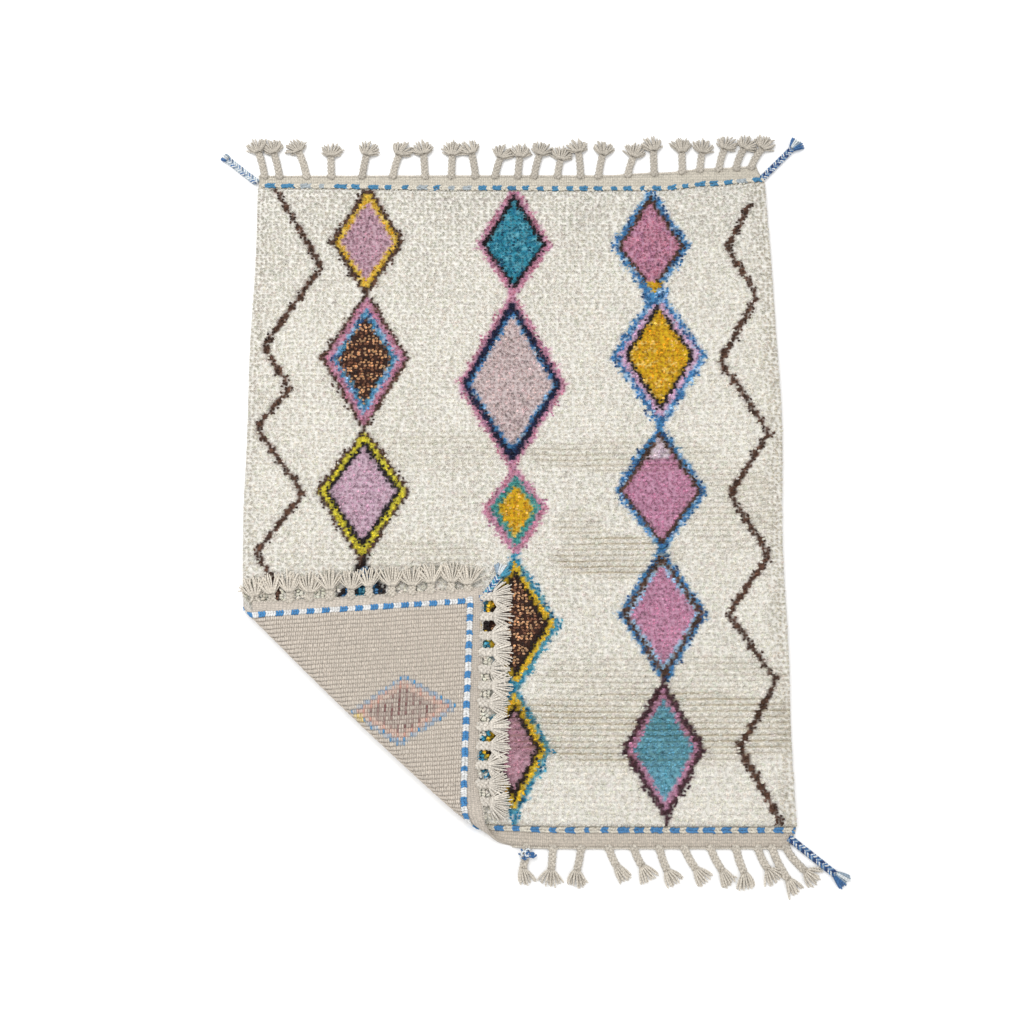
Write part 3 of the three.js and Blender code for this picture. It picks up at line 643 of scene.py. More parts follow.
def makeTuftTree():
    tree, given, result = newTree("tuftsOnPoints", "GeometryNodeTree", [
        ("Geometry", "NodeSocketGeometry", None),
        ("Locks", "NodeSocketInt", 5),
        ("Width", "NodeSocketFloat", 0.010),
        ("Lock width", "NodeSocketFloat", 0.3),
        ("Spread", "NodeSocketFloat", 0.25),
        ("Lean", "NodeSocketFloat", 1.0),
        ("Uneven", "NodeSocketFloat", 0.15),
        ("Seed", "NodeSocketInt", 1),
        ("Material", "NodeSocketMaterial", None),
    ], [("Geometry", "NodeSocketGeometry")])
    place = addNode(tree, "GeometryNodeInputPosition").outputs[0]
    lock = addNode(tree, "GeometryNodeMeshCone", {
        "Vertices": 3, "Side Segments": 1, "Fill Segments": 1, "Radius Top": 0.0,
        "Radius Bottom": given["Lock width"], "Depth": 1.0}, fill_type="NGON").outputs[0]
    height = addNode(tree, "ShaderNodeSeparateXYZ", {0: place}).outputs[2]
    lock = addNode(tree, "GeometryNodeStoreNamedAttribute", {"Geometry": lock, "Name": "rise", "Value": height},
                   data_type="FLOAT", domain="POINT").outputs[0]
    ring = addNode(tree, "GeometryNodeMeshCircle", {"Vertices": given["Locks"], "Radius": 1.0}).outputs[0]
    outward = addNode(tree, "ShaderNodeVectorMath", {0: place, "Scale": given["Lean"]}, operation="SCALE").outputs[0]
    aim = addNode(tree, "ShaderNodeVectorMath", {0: outward, 1: (0, 0, 1)}, operation="ADD").outputs[0]
    leaned = addNode(tree, "FunctionNodeAlignRotationToVector", {"Vector": aim}, axis="Z").outputs[0]
    lengths = addNode(tree, "FunctionNodeRandomValue", {2: 0.75, 3: 1.2, "Seed": 3}, data_type="FLOAT").outputs[1]
    foot = addNode(tree, "ShaderNodeVectorMath", {0: place, "Scale": given["Spread"]}, operation="SCALE").outputs[0]
    ring = addNode(tree, "GeometryNodeSetPosition", {"Geometry": ring, "Position": foot}).outputs[0]
    tones = addNode(tree, "FunctionNodeRandomValue", {2: -1.0, 3: 1.0, "Seed": 5}, data_type="FLOAT").outputs[1]
    ring = addNode(tree, "GeometryNodeStoreNamedAttribute", {"Geometry": ring, "Name": "lockTone", "Value": tones},
                   data_type="FLOAT", domain="POINT").outputs[0]
    tuft = addNode(tree, "GeometryNodeInstanceOnPoints", {
        "Points": ring, "Instance": lock, "Rotation": leaned, "Scale": lengths}).outputs[0]
    tuft = addNode(tree, "GeometryNodeRealizeInstances", {"Geometry": tuft}).outputs[0]
    growth = addNode(tree, "GeometryNodeInputNamedAttribute", {"Name": "growth"}, data_type="FLOAT_VECTOR").outputs[0]
    facing = addNode(tree, "GeometryNodeInputNamedAttribute", {"Name": "facing"}, data_type="FLOAT").outputs[0]
    upright = addNode(tree, "FunctionNodeAlignRotationToVector", {"Vector": growth}, axis="Z").outputs[0]
    spin = addNode(tree, "FunctionNodeAxisAngleToRotation", {"Angle": facing}).outputs[0]
    turned = addNode(tree, "FunctionNodeRotateRotation", {"Rotation": upright, "Rotate By": spin},
                     rotation_space="LOCAL").outputs[0]
    uneven = addNode(tree, "FunctionNodeRandomValue", {"Seed": given["Seed"]}, data_type="FLOAT")
    tree.links.new(mathNode(tree, "SUBTRACT", 1.0, given["Uneven"]), uneven.inputs[2])
    tree.links.new(mathNode(tree, "ADD", 1.0, given["Uneven"]), uneven.inputs[3])
    width = mathNode(tree, "MULTIPLY", given["Width"], uneven.outputs[1])
    length = addNode(tree, "ShaderNodeVectorMath", {0: growth}, operation="LENGTH").outputs[1]
    squeeze = addNode(tree, "GeometryNodeInputNamedAttribute", {"Name": "squeeze"}, data_type="FLOAT").outputs[0]
    scale = addNode(tree, "ShaderNodeCombineXYZ", {0: width, 1: mathNode(tree, "MULTIPLY", width, squeeze), 2: length})
    placed = addNode(tree, "GeometryNodeInstanceOnPoints", {
        "Points": given["Geometry"], "Instance": tuft, "Rotation": turned, "Scale": scale.outputs[0]})
    real = addNode(tree, "GeometryNodeRealizeInstances", {"Geometry": placed.outputs[0]})
    painted = addNode(tree, "GeometryNodeSetMaterial", {"Geometry": real.outputs[0], "Material": given["Material"]})
    tree.links.new(painted.outputs[0], result["Geometry"])
    return tree


# Geometry Nodes: a round yarn along every line

def makeYarnTree():
    tree, given, result = newTree("yarnAlongLines", "GeometryNodeTree", [
        ("Geometry", "NodeSocketGeometry", None),
        ("Sides", "NodeSocketInt", 5),
        ("Thickness", "NodeSocketFloat", 1.0),
        ("Material", "NodeSocketMaterial", None),
    ], [("Geometry", "NodeSocketGeometry")])
    line = addNode(tree, "GeometryNodeMeshToCurve", {"Mesh": given["Geometry"]}).outputs[0]
    radius = addNode(tree, "GeometryNodeInputNamedAttribute", {"Name": "yarnRadius"}, data_type="FLOAT").outputs[0]
    along = addNode(tree, "GeometryNodeSplineParameter").outputs["Length"]
    line = addNode(tree, "GeometryNodeStoreNamedAttribute", {"Geometry": line, "Name": "along", "Value": along},
                   data_type="FLOAT", domain="POINT").outputs[0]
    ring = addNode(tree, "GeometryNodeCurvePrimitiveCircle", {"Resolution": given["Sides"], "Radius": 1.0}).outputs[0]
    ringPlace = addNode(tree, "GeometryNodeInputPosition").outputs[0]
    ring = addNode(tree, "GeometryNodeStoreNamedAttribute", {"Geometry": ring, "Name": "round", "Value": ringPlace},
                   data_type="FLOAT_VECTOR", domain="POINT").outputs[0]
    size = mathNode(tree, "MULTIPLY", radius, given["Thickness"])
    swept = addNode(tree, "GeometryNodeCurveToMesh", {
        "Curve": line, "Profile Curve": ring, "Scale": size, "Fill Caps": True}).outputs[0]
    real = addNode(tree, "GeometryNodeRealizeInstances", {"Geometry": swept})
    rounded = addNode(tree, "GeometryNodeSetShadeSmooth", {"Geometry": real.outputs[0]})
    painted = addNode(tree, "GeometryNodeSetMaterial", {"Geometry": rounded.outputs[0], "Material": given["Material"]})
    tree.links.new(painted.outputs[0], result["Geometry"])
    return tree


lumpTree = makeLumpTree()
tuftTree = makeTuftTree()
yarnTree = makeYarnTree()


def addObject(name, points, edges=(), faces=()):
    mesh = bpy.data.meshes.new(name)
    mesh.from_pydata(points, edges, faces)
    piece = bpy.data.objects.new(name, mesh)
    bpy.context.scene.collection.objects.link(piece)
    return piece


def addAttribute(piece, name, kind, values):
    attribute = piece.data.attributes.new(name, kind, "POINT")
    field = {"FLOAT": "value", "FLOAT_VECTOR": "vector", "FLOAT_COLOR": "color"}[kind]
    attribute.data.foreach_set(field, np.asarray(values, np.float32).ravel())


def withAlpha(colors):
    return np.concatenate([colors, np.ones((len(colors), 1))], axis=1)


# Turns what a tree makes of a piece into the piece's own plain mesh
def applyTree(piece, tree, **values):
    modifier = piece.modifiers.new(tree.name, "NODES")
    modifier.node_group = tree
    for item in tree.interface.items_tree:
        if item.item_type == "SOCKET" and item.in_out == "INPUT" and item.name in values:
            modifier[item.identifier] = values[item.name]
    graph = bpy.context.evaluated_depsgraph_get()
    made = bpy.data.meshes.new_from_object(piece.evaluated_get(graph), depsgraph=graph)
    piece.modifiers.clear()
    piece.data = made
    return piece


# Sets lumps or tufts on root points, each pointing along its growth
lowestTip = 0.0020


def addLumps(name, tree, roots, growth, facing, colors, fleckAndRootShade, squeeze, **values):
    above = (roots + growth)[:, 2] > lowestTip
    roots, growth, facing, colors = roots[above], growth[above], facing[above], colors[above]
    fleckAndRootShade, squeeze = fleckAndRootShade[above], squeeze[above]
    piece = addObject(name, roots)
    addAttribute(piece, "squeeze", "FLOAT", squeeze)
    addAttribute(piece, "fleckAndRootShade", "FLOAT", fleckAndRootShade)
    addAttribute(piece, "growth", "FLOAT_VECTOR", growth)
    addAttribute(piece, "facing", "FLOAT", facing)
    addAttribute(piece, "yarnColor", "FLOAT_COLOR", withAlpha(colors))
    return applyTree(piece, tree, **values)


def addYarns(name, lines, sides):
    points, edges, radii, colors = [], [], [], []
    for line in lines:
        first = sum(len(p) for p in points)
        count = len(line["points"])
        points.append(line["points"])
        edges += [(first + k, first + k + 1) for k in range(count - 1)]
        radii.append(np.broadcast_to(line["radius"], count))
        colors.append(np.broadcast_to(line["color"], (count, 3)))
    piece = addObject(name, np.concatenate(points), edges)
    addAttribute(piece, "yarnRadius", "FLOAT", np.concatenate(radii))
    addAttribute(piece, "yarnColor", "FLOAT_COLOR", withAlpha(np.concatenate(colors)))
    return applyTree(piece, yarnTree, Sides=sides, Material=yarnMaterial)


def settle(piece, slot, *nodes):
    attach(piece, "root")
    if nodes:
        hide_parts(*nodes)
    return piece


# The ground cloth: one closed folded sheet, with its flat plan as its UV map.
# Its front carries the matted foot of the pile, with a groove between the rows of knots, coloured darker as painted
# shade.

cloth = {
    "step": 0.0100,
    "bandRows": 3,
    "knotRows": 114,
    "pileFoot": 0.0142,
    "groove": 0.0010,
    "splitGroove": 0.0050,
    # Painted shade: the foot between the tufts, its grooves and the parted rows are coloured darker
    "paintedFootShade": 0.78,
    "paintedGrooveShade": 0.88,
    "paintedSplitShade": (0.62, 0.54, 0.40),
    "rowWave": 0.0014,
}

# Stretches where the rows part and show dark lines, a gap with painted shade in it: their middle, half sizes and
# strength
rowSplits = [
    {"at": (0.300, -0.512), "half": (0.400, 0.095), "part": 0.85},
    {"at": (0.330, -0.405), "half": (0.330, 0.055), "part": 0.4},
    {"at": (0.230, -0.140), "half": (0.160, 0.055), "part": 0.85},
    {"at": (0.480, -0.020), "half": (0.120, 0.120), "part": 0.35},
    {"at": (-0.140, 0.100), "half": (0.200, 0.050), "part": 0.30},
    {"at": (0.240, 0.090), "half": (0.240, 0.045), "part": 0.55},
    {"at": (0.150, -0.075), "half": (0.060, 0.055), "part": 0.5},
    {"at": (-0.230, -0.140), "half": (0.180, 0.040), "part": 0.35},
]


def splitShare(x, y):
    share = np.zeros_like(x)
    for stretch in rowSplits:
        away = ((x - stretch["at"][0]) / stretch["half"][0]) ** 2 + ((y - stretch["at"][1]) / stretch["half"][1]) ** 2
        share = np.maximum(share, stretch["part"] * smooth(2.2 * (1 - away)))
    return share * (0.80 + 0.20 * np.sin(x / 0.090 + y / 0.013))


# The rows of knots run a little wavy, but for the first and last ones
def rowWave(x, along):
    return cloth["rowWave"] * 4 * along * (1 - along) * (np.sin(x / 0.061 + 5 * along) + 0.6 * np.sin(x / 0.027))


def clothColumns():
    inner = plan["halfWidth"] - plan["dashWidth"]
    count = round(2 * inner / cloth["step"])
    return np.concatenate([
        [-plan["halfWidth"] - plan["sideBand"], -plan["halfWidth"] - plan["sideBand"] / 2,
         -plan["halfWidth"], -plan["halfWidth"] + plan["dashWidth"] / 2],
        np.linspace(-inner, inner, count + 1),
        [plan["halfWidth"] - plan["dashWidth"] / 2, plan["halfWidth"]]])


# Rows of points: the near band, two for each row of knots, and the far band
def clothRows(x):
    farPile = farEdgeAt(x, "dash") - plan["dashWidth"] / 2
    farBand = farPile + plan["dashWidth"]
    hem = farEdgeAt(x, "hem")
    count = cloth["bandRows"]
    near = [np.full_like(x, plan["nearHem"] + plan["nearBand"] * k / count) for k in range(count + 1)]
    near += [np.full_like(x, pileStart - plan["dashWidth"] / 2)]
    places = np.linspace(0, 1, 2 * cloth["knotRows"] + 1)
    knots = [mix(pileStart, farPile, along) + rowWave(x, along) for along in places]
    far = [mix(farPile, farBand, 0.5), farBand, mix(farBand, hem, 0.5), hem]
    isGroove = [False] * len(near) + [k % 2 == 0 for k in range(len(knots))] + [False] * len(far)
    return np.array(near + knots + far), np.array(isGroove)


def pileShare(x, y):
    fromDash = farEdgeAt(x, "dash") - plan["dashWidth"] / 2 - y
    sideEdge = np.where(y < plan["sideBandStart"], plan["dashWidth"], -plan["pileRim"])
    inside = np.minimum(np.minimum(y - pileStart, fromDash), x + plan["halfWidth"] - sideEdge)
    return smooth(inside / plan["pileRim"])


def makeCloth():
    rng = np.random.default_rng(11)
    across = clothColumns()
    ys, isGroove = clothRows(across)
    splitRow = int(np.argmin(np.abs(ys[:, 0] - plan["sideBandStart"])))
    xs = np.broadcast_to(across, ys.shape)
    rows, columns = ys.shape
    onFront = foldDepth(xs, ys) <= 0
    parted = splitShare(xs, ys) * onFront
    groove = isGroove[:, None] * (cloth["groove"] + cloth["splitGroove"] * parted)
    foot = cloth["pileFoot"] + rng.normal(0, 0.0006, ys.shape) - groove
    thick = mix(plan["bandThick"], foot, pileShare(xs, ys))
    points = np.concatenate([lay(xs, ys, thick).reshape(-1, 3), lay(xs, ys, 0.0).reshape(-1, 3)])
    count = rows * columns
    frontFaces, backFaces, rim = [], [], {}
    for j in range(rows - 1):
        for i in range(columns - 1):
            if i < 2 and j >= splitRow:
                continue
            ring = [j * columns + i, j * columns + i + 1, (j + 1) * columns + i + 1, (j + 1) * columns + i]
            frontFaces.append(ring)
            backFaces.append([v + count for v in reversed(ring)])
            for a, b in zip(ring, ring[1:] + ring[:1]):
                if (b, a) in rim:
                    del rim[(b, a)]
                else:
                    rim[(a, b)] = True
    faces = frontFaces + backFaces + [[a, a + count, b + count, b] for a, b in rim]
    used = sorted({v for face in faces for v in face})
    newIndex = {v: k for k, v in enumerate(used)}
    piece = addObject("rug_cloth", points[used], faces=[[newIndex[v] for v in face] for face in faces])
    flatX, flatY = np.tile(xs.ravel(), 2)[used], np.tile(ys.ravel(), 2)[used]
    uv = piece.data.uv_layers.new(name="flat")
    loops = np.empty(len(piece.data.loops), np.int32)
    piece.data.loops.foreach_get("vertex_index", loops)
    uv.data.foreach_set("uv", np.stack([flatX[loops], flatY[loops]], axis=1).ravel().astype(np.float32))
    world = lay(xs, ys, 0.016)
    onPile = pileShare(xs, ys) > 0.01
    bandShades = np.where(ys < pileStart, woolIndex("nearGreige"), woolIndex("greige"))
    frontShades = np.where(onPile, frontWool(world[..., 0], world[..., 1], rng), bandShades)
    frontShades = np.where(onPile & ~onFront, woolIndex("ivory"), frontShades)
    # Painted shade: the pile's foot is darker between the tufts, darker still in the grooves and where the rows part
    paintedGrooveShadeMix = mix(cloth["paintedGrooveShade"], np.array(cloth["paintedSplitShade"]), parted[..., None])
    paintedFootShade = cloth["paintedFootShade"] * np.where(isGroove[:, None, None], paintedGrooveShadeMix, 1.0)
    frontColors = woolTable[frontShades] * np.where(onPile[..., None], paintedFootShade, 1.0)
    backShades, shows = backWool(xs, ys)
    backColors = mix(linearColor("back"), woolTable[backShades], shows[..., None])
    colors = np.concatenate([frontColors.reshape(-1, 3), backColors.reshape(-1, 3)])[used]
    addAttribute(piece, "yarnColor", "FLOAT_COLOR", withAlpha(colors))
    addAttribute(piece, "rise", "FLOAT", np.ones(len(used)))
    addAttribute(piece, "fleckAndRootShade", "FLOAT", np.full(len(used), 0.5))
    piece.data.shade_smooth()
    piece.data.materials.append(clothMaterial)
    piece.data.materials.append(pileMaterial)
    pileFaces = np.zeros(len(faces), np.int32)
    firstCorner = np.array([face[0] for face in frontFaces])
    pileFaces[:len(frontFaces)] = onPile.ravel()[firstCorner] & onPile.ravel()[firstCorner + columns + 1]
    piece.data.polygons.foreach_set("material_index", pileFaces)
    return settle(piece, "wool_pile", "rug_body")


rugCloth = makeCloth()
print("cloth laid")


# The pile: knots in rows, each with two cut ends that open into locks; ends lean out at the rims

pile = {
    "columns": 130,
    "rootHeight": 0.0085,
    "width": 0.0096,
    "lockWidth": 0.46,
    "spread": 0.15,
    "lean": 0.58,
    "locks": 5,
    "uneven": 0.09,
    "shake": 0.0011,
    "endShake": 0.0016,
    "tipShake": 0.0009,
    "nap": (0.0003, -0.0012),
    "lengthShare": 1.05,
    "lengthChange": 0.05,
    "rimLean": 0.0038,
    "endLean": 0.0022,
    "brightness": 0.018,
    "endBrightness": 0.16,
    "ivoryFleck": 0.20,
    "lumpDepth": 0.0010,
    "hiddenBeyond": 0.055,
    "split": 0.0007,
    "turnChange": 0.55,
    "squeeze": 0.70,
    "splitSqueeze": 0.46,
    "steadier": 0.6,
}

# Painted shade: the pile is coloured darker to the sides and the far end: how wide the change is and how dark it gets
paintedEdgeShades = [
    {"side": 1, "width": 0.055, "dark": (0.20, 0.22, 0.26)},
    {"side": -1, "width": 0.035, "dark": (0.16, 0.17, 0.19)},
]
paintedFarShade = {"from": 0.190, "to": 0.740, "dark": 0.12}

# Between the plaits of the folded corner the pile stands up a little, and its colour is painted lighter there, with
# less painted root shade
pushedUp = {"lift": 0.0070, "soft": 0.006, "paintedLight": 0.14, "plain": 0.8}
pushedUpAreas = [
    {"x": (-0.610, -0.050), "y": (-0.262, -0.208)},
    {"x": (-0.092, -0.044), "y": (-0.710, -0.230)},
]


def pileLumps(x, y):
    across = np.sin(x / 0.047 + 1.3 * np.sin(y / 0.083))
    along = np.cos(y / 0.053 + 0.8 * np.sin(x / 0.071))
    return pile["lumpDepth"] * (1 + across * along) / 2


# Painted shade: a colour factor for the pile, darker towards the sides and the far end
def paintedEdgeShadeAt(x, y):
    toFar = np.clip((y - paintedFarShade["from"]) / (paintedFarShade["to"] - paintedFarShade["from"]), 0, 1)
    shade = np.tile(1 - paintedFarShade["dark"] * toFar ** 2, (3, 1)).T
    for edge in paintedEdgeShades:
        inside = plan["halfWidth"] - edge["side"] * x
        shade = shade * (1 - np.outer(smooth((edge["width"] - inside) / edge["width"]), edge["dark"]))
    return shade


def pushedShare(place):
    share = np.zeros(place.shape[:-1])
    for area in pushedUpAreas:
        inX = np.minimum(place[..., 0] - area["x"][0], area["x"][1] - place[..., 0])
        inY = np.minimum(place[..., 1] - area["y"][0], area["y"][1] - place[..., 1])
        share = np.maximum(share, smooth(np.minimum(inX, inY) / pushedUp["soft"]))
    return share


# Leaves out the ends that lie deep under the folded corner or inside it
def isSeen(x, y):
    hidden = pile["hiddenBeyond"]
    depth = foldDepth(x, y)
    place = lay(x, y, 0.016)
    under = (depth <= 0) & (place[..., 0] < fold["tip"][0] - hidden) & (place[..., 1] < fold["tip"][1] - hidden)
    inside = (y > pileStart + hidden) & (x > -plan["halfWidth"] + hidden) & (depth > 0)
    return ~under & ~inside & ~((depth > 0.3 * foldLength) & (depth < 0.7 * foldLength))


def makePile():
    rng = np.random.default_rng(5)
    counts = np.arange(cloth["knotRows"]), np.arange(pile["columns"])
    rowNumber, columnNumber = np.meshgrid(*counts, indexing="ij")
    knotX = plan["halfWidth"] * (2 * (columnNumber + 0.5) / pile["columns"] - 1)
    farPile = farEdgeAt(knotX, "dash") - plan["dashWidth"] / 2
    rowStep = (farPile - pileStart) / cloth["knotRows"]
    knotY = pileStart + (rowNumber + 0.5) * rowStep + rowWave(knotX, (rowNumber + 0.5) / cloth["knotRows"])
    knotX = knotX + rng.normal(0, pile["shake"], knotX.shape)
    knotY = knotY + rng.normal(0, pile["shake"] * 0.6, knotX.shape)
    world = lay(knotX, knotY, 0.016)
    knotShade = frontWool(world[..., 0], world[..., 1], rng)
    knotTone = 1 + rng.normal(0, pile["brightness"], knotX.shape)
    keepKnot = (knotY > plan["sideBandStart"]) | (knotX > -plan["halfWidth"] + plan["dashWidth"])
    roots, growths, colors, facings, flecks, squeezes = [], [], [], [], [], []
    for end in (-1, 1):
        x = knotX + rng.normal(0, pile["endShake"], knotX.shape)
        y = knotY + end * rowStep / 4 + rng.normal(0, pile["endShake"] * 0.5, knotX.shape)
        x = np.clip(x, -plan["halfWidth"] + 0.005, plan["halfWidth"] - 0.005)
        keep = keepKnot & isSeen(x, y)
        x, y = x[keep], y[keep]
        shade = mixMottled(knotShade[keep], x, y, rng)
        # How strongly the wool varies, which also sets how much painted shade darkens the roots of its locks
        fleckAndRootShade = np.where(shade == woolIndex("ivory"), pile["ivoryFleck"], 1.0)
        onFront = foldDepth(x, y) <= 0
        pushed = pushedShare(lay(x, y, 0.016)) * onFront
        # Painted light: ivory in these windows varies less, has less painted root shade, and is coloured lighter below
        fleckAndRootShade = np.where(fleckAndRootShade < 1, fleckAndRootShade * (1 - pushedUp["plain"] * pushed), fleckAndRootShade)
        tone = knotTone[keep] * (1 + fleckAndRootShade * rng.normal(0, pile["endBrightness"], x.shape))
        # The tone carries painted light in the pushed-up windows and painted shade towards the sides and the far end
        tone = (tone * (1 + pushedUp["paintedLight"] * pushed))[:, None] * paintedEdgeShadeAt(x, y)
        parted = splitShare(x, y) * onFront
        steady = 1 - pile["steadier"] * parted
        y = y - end * parted * pile["split"]
        y = y + 0.0015 * (y < pileStart + 0.005)
        top = (plan["pileThick"] - pileLumps(x, y)) * (1 + pile["lengthChange"] * rng.normal(0, 0.4, x.shape))
        top = top + pushedUp["lift"] * pushed
        sideOut = np.clip((np.abs(x) - plan["halfWidth"] + 0.012) / 0.012, 0, 1) * np.sign(x)
        nearOut = np.clip((pileStart + 0.012 - y) / 0.012, 0, 1)
        farOut = np.clip((y - farEdgeAt(x, "dash") + plan["dashWidth"] / 2 + 0.012) / 0.012, 0, 1)
        leanX = rng.normal(0, pile["tipShake"], x.shape) + pile["nap"][0] + sideOut * pile["rimLean"]
        leanY = rng.normal(0, pile["tipShake"], x.shape) * steady + pile["nap"][1] * (1 - parted)
        leanY = leanY + (nearOut - farOut) * pile["endLean"]
        leanY = leanY - end * parted * pile["split"]
        atRim = np.maximum(np.abs(sideOut), np.maximum(nearOut, farOut))
        root = lay(x, y, pile["rootHeight"] * (1 - 0.35 * atRim) + pushedUp["lift"] * pushed)
        tip = lay(x + leanX, y + leanY, top * (1 - 0.14 * atRim))
        roots.append(root)
        growths.append((tip - root) * pile["lengthShare"])
        colors.append(np.clip(woolTable[shade] * tone * (1 + rng.normal(0, 0.012, (len(x), 3))), 0, 1))
        turn = rng.normal(0, pile["turnChange"], x.shape) * steady
        facings.append(turn + math.pi * rng.integers(0, 2, x.shape))
        flecks.append(fleckAndRootShade)
        squeezes.append(mix(pile["squeeze"], pile["splitSqueeze"], parted))
    gathered = (roots, growths, colors, facings, flecks, squeezes)
    roots, growths, colors, facings, flecks, squeezes = (np.concatenate(v) for v in gathered)
    limits = np.quantile(roots[:, 1], [0, 1 / 3, 2 / 3, 1])
    limits[-1] += 1
    made = []
    for k, name in enumerate(("pile_near", "pile_middle", "pile_far")):
        part = (roots[:, 1] >= limits[k]) & (roots[:, 1] < limits[k + 1])
        piece = addLumps(name, tuftTree, roots[part], growths[part], facings[part], colors[part], flecks[part],
                         squeezes[part], **{
            "Locks": pile["locks"], "Width": pile["width"], "Lock width": pile["lockWidth"],
            "Spread": pile["spread"], "Lean": pile["lean"], "Uneven": pile["uneven"],
            "Seed": 21 + k, "Material": pileMaterial})
        made.append(settle(piece, "wool_pile"))
    return made


pilePieces = makePile()
print("pile knotted")


# The woven back of the folded corner: one raised knot back for each crossing

backWeave = {
    "across": 0.0094,
    "along": 0.0044,
    "height": 0.0026,
    "sink": 0.0006,
    "width": 0.0050,
    "depth": 0.0104,
    "shake": 0.0003,
    "tone": 0.045,
    "ghostEvery": 3,
}


def makeBackWeave():
    rng = np.random.default_rng(8)
    reach = -plan["halfWidth"] + plan["dashWidth"] + backWeave["across"] / 2
    xs = np.arange(reach, 0.05, backWeave["across"])
    ys = np.arange(pileStart + backWeave["along"] / 2, 0.0, backWeave["along"])
    yNumber, _ = np.meshgrid(np.arange(len(ys)), np.arange(len(xs)), indexing="ij")
    y, x = np.meshgrid(ys, xs, indexing="ij")
    x = x + 0.0006 * np.sin(y / 0.021 + x * 40)
    keep = foldDepth(x, y) > -0.006
    x, y, yNumber = x[keep], y[keep], yNumber[keep]
    x = x + rng.normal(0, backWeave["shake"], x.shape)
    y = y + rng.normal(0, backWeave["shake"], x.shape)
    out = -clothUp(x, y)
    length = backWeave["height"] * (1 + rng.normal(0, 0.12, x.shape)) + backWeave["sink"]
    root = lay(x, y, 0.0) - out * backWeave["sink"]
    shades, shows = backWool(x, y)
    strong = np.where(yNumber % backWeave["ghostEvery"] == 0, 1.35, 0.55) * rng.uniform(0.3, 1.6, x.shape)
    color = mix(linearColor("back"), woolTable[shades], np.clip(shows * strong, 0, 1)[:, None])
    color = color * (1 + rng.normal(0, backWeave["tone"], x.shape))[:, None]
    piece = addLumps("back_weave", lumpTree, root, out * length[:, None], rng.normal(0, 0.06, x.shape), np.clip(color, 0, 1),
                     np.full(len(x), 0.3), np.ones(len(x)), **{
        "Width": backWeave["width"], "Depth": backWeave["depth"], "Root width": 1.0,
        "Blunt": 0.3, "Uneven": 0.06, "Seed": 31, "Material": pileMaterial})
    return settle(piece, "wool_pile")


weavePiece = makeBackWeave()
print("back woven")


# Twined rows of blue and white: two lanes of slanted stitches that meet as chevrons

twining = {
    "stitch": 0.0050,
    "lane": 0.0026,
    "length": 0.0110,
    "width": 0.0062,
    "height": 0.0040,
    "slant": 0.50,
    "tone": 0.05,
    "offset": 0.004,
}
sideDashX = -plan["halfWidth"] + plan["dashWidth"] / 2
nearDashY = plan["nearHem"] + plan["nearBand"] + plan["dashWidth"] / 2

# Each row: where it runs in the flat plan, the pitch of its marks at both ends, and the share that is blue
twinedRows = [
    {"name": "far", "from": -0.588, "to": 0.598, "alongX": True, "front": True, "pitch": (0.0425, 0.0345),
     "blue": 0.52, "change": 0.18, "faded": 0.16, "lane": 0.95, "blueWool": "dashTeal", "whiteWool": "dashIvory"},
    {"name": "near", "from": -0.090, "to": 0.598, "alongX": True, "front": True, "pitch": (0.0415, 0.0360),
     "blue": 0.54, "change": 0.12, "faded": 0.04, "lane": 1.1, "blueWool": "dashFront", "whiteWool": "dashIvory"},
    {"name": "flapEnd", "from": -0.600, "to": -0.030, "alongX": True, "front": False, "pitch": (0.0285, 0.0350),
     "offset": 0.008, "blue": 0.47, "change": 0.08, "faded": 0.0, "lane": 1.0, "blueWool": "dashBlue", "whiteWool": "dashWhite"},
    {"name": "flapSide", "from": -0.722, "to": -0.255, "alongX": False, "front": False, "pitch": (0.0270, 0.0312),
     "blue": 0.50, "change": 0.06, "faded": 0.0, "lane": 1.0, "blueWool": "dashBlue", "whiteWool": "dashWhite"},
]


# Which stitches of a row are blue, and how strongly
def dashMarks(row, at, rng):
    strength = np.zeros_like(at)
    start = row["from"] + twining["offset"] + row.get("offset", 0.0)
    while start < row["to"]:
        share = (start - row["from"]) / (row["to"] - row["from"])
        pitch = mix(*row["pitch"], min(1, 2 * share)) * (1 + rng.normal(0, row["change"] * 0.3))
        length = pitch * row["blue"] * (1 + rng.normal(0, row["change"]))
        isMark = (at >= start) & (at < start + length)
        strength[isMark] = 0.45 if rng.random() < row["faded"] else 1.0
        start += pitch
    return strength


def twinedPoints(row, rng):
    at = np.arange(row["from"], row["to"], twining["stitch"])
    strength = dashMarks(row, at, rng)
    blueColor, whiteColor = linearColor(row["blueWool"]), linearColor(row["whiteWool"])
    roots, growths, facings, colors = [], [], [], []
    for lane in (-1, 1):
        across = lane * twining["lane"] * row["lane"] + rng.normal(0, 0.0012 * row["change"] * 4, at.shape)
        if row["alongX"]:
            x = at + 0.0
            y = (farEdgeAt(x, "dash") if row["name"] == "far" else nearDashY) + across
        else:
            x, y = sideDashX + across, at + 0.0
        depth = foldDepth(x, y)
        shown = (depth <= 0.45 * foldLength) if row["front"] else (depth > 0.0)
        x, y, shownStrength = x[shown], y[shown], strength[shown]
        up = clothUp(x, y) * (1 if row["front"] else -1)
        roots.append(lay(x, y, plan["bandThick"] if row["front"] else 0.0) - up * 0.001)
        growths.append(up * ((twining["height"] + 0.001) * (1 + rng.normal(0, 0.10, x.shape)))[:, None])
        slant = twining["slant"] if row["alongX"] else math.pi / 2 - twining["slant"]
        facings.append(lane * slant + rng.normal(0, 0.10, x.shape))
        tone = 1 + rng.normal(0, twining["tone"], x.shape)
        colors.append(np.clip(mix(whiteColor, blueColor, shownStrength[:, None]) * tone[:, None], 0, 1))
    return roots, growths, facings, colors


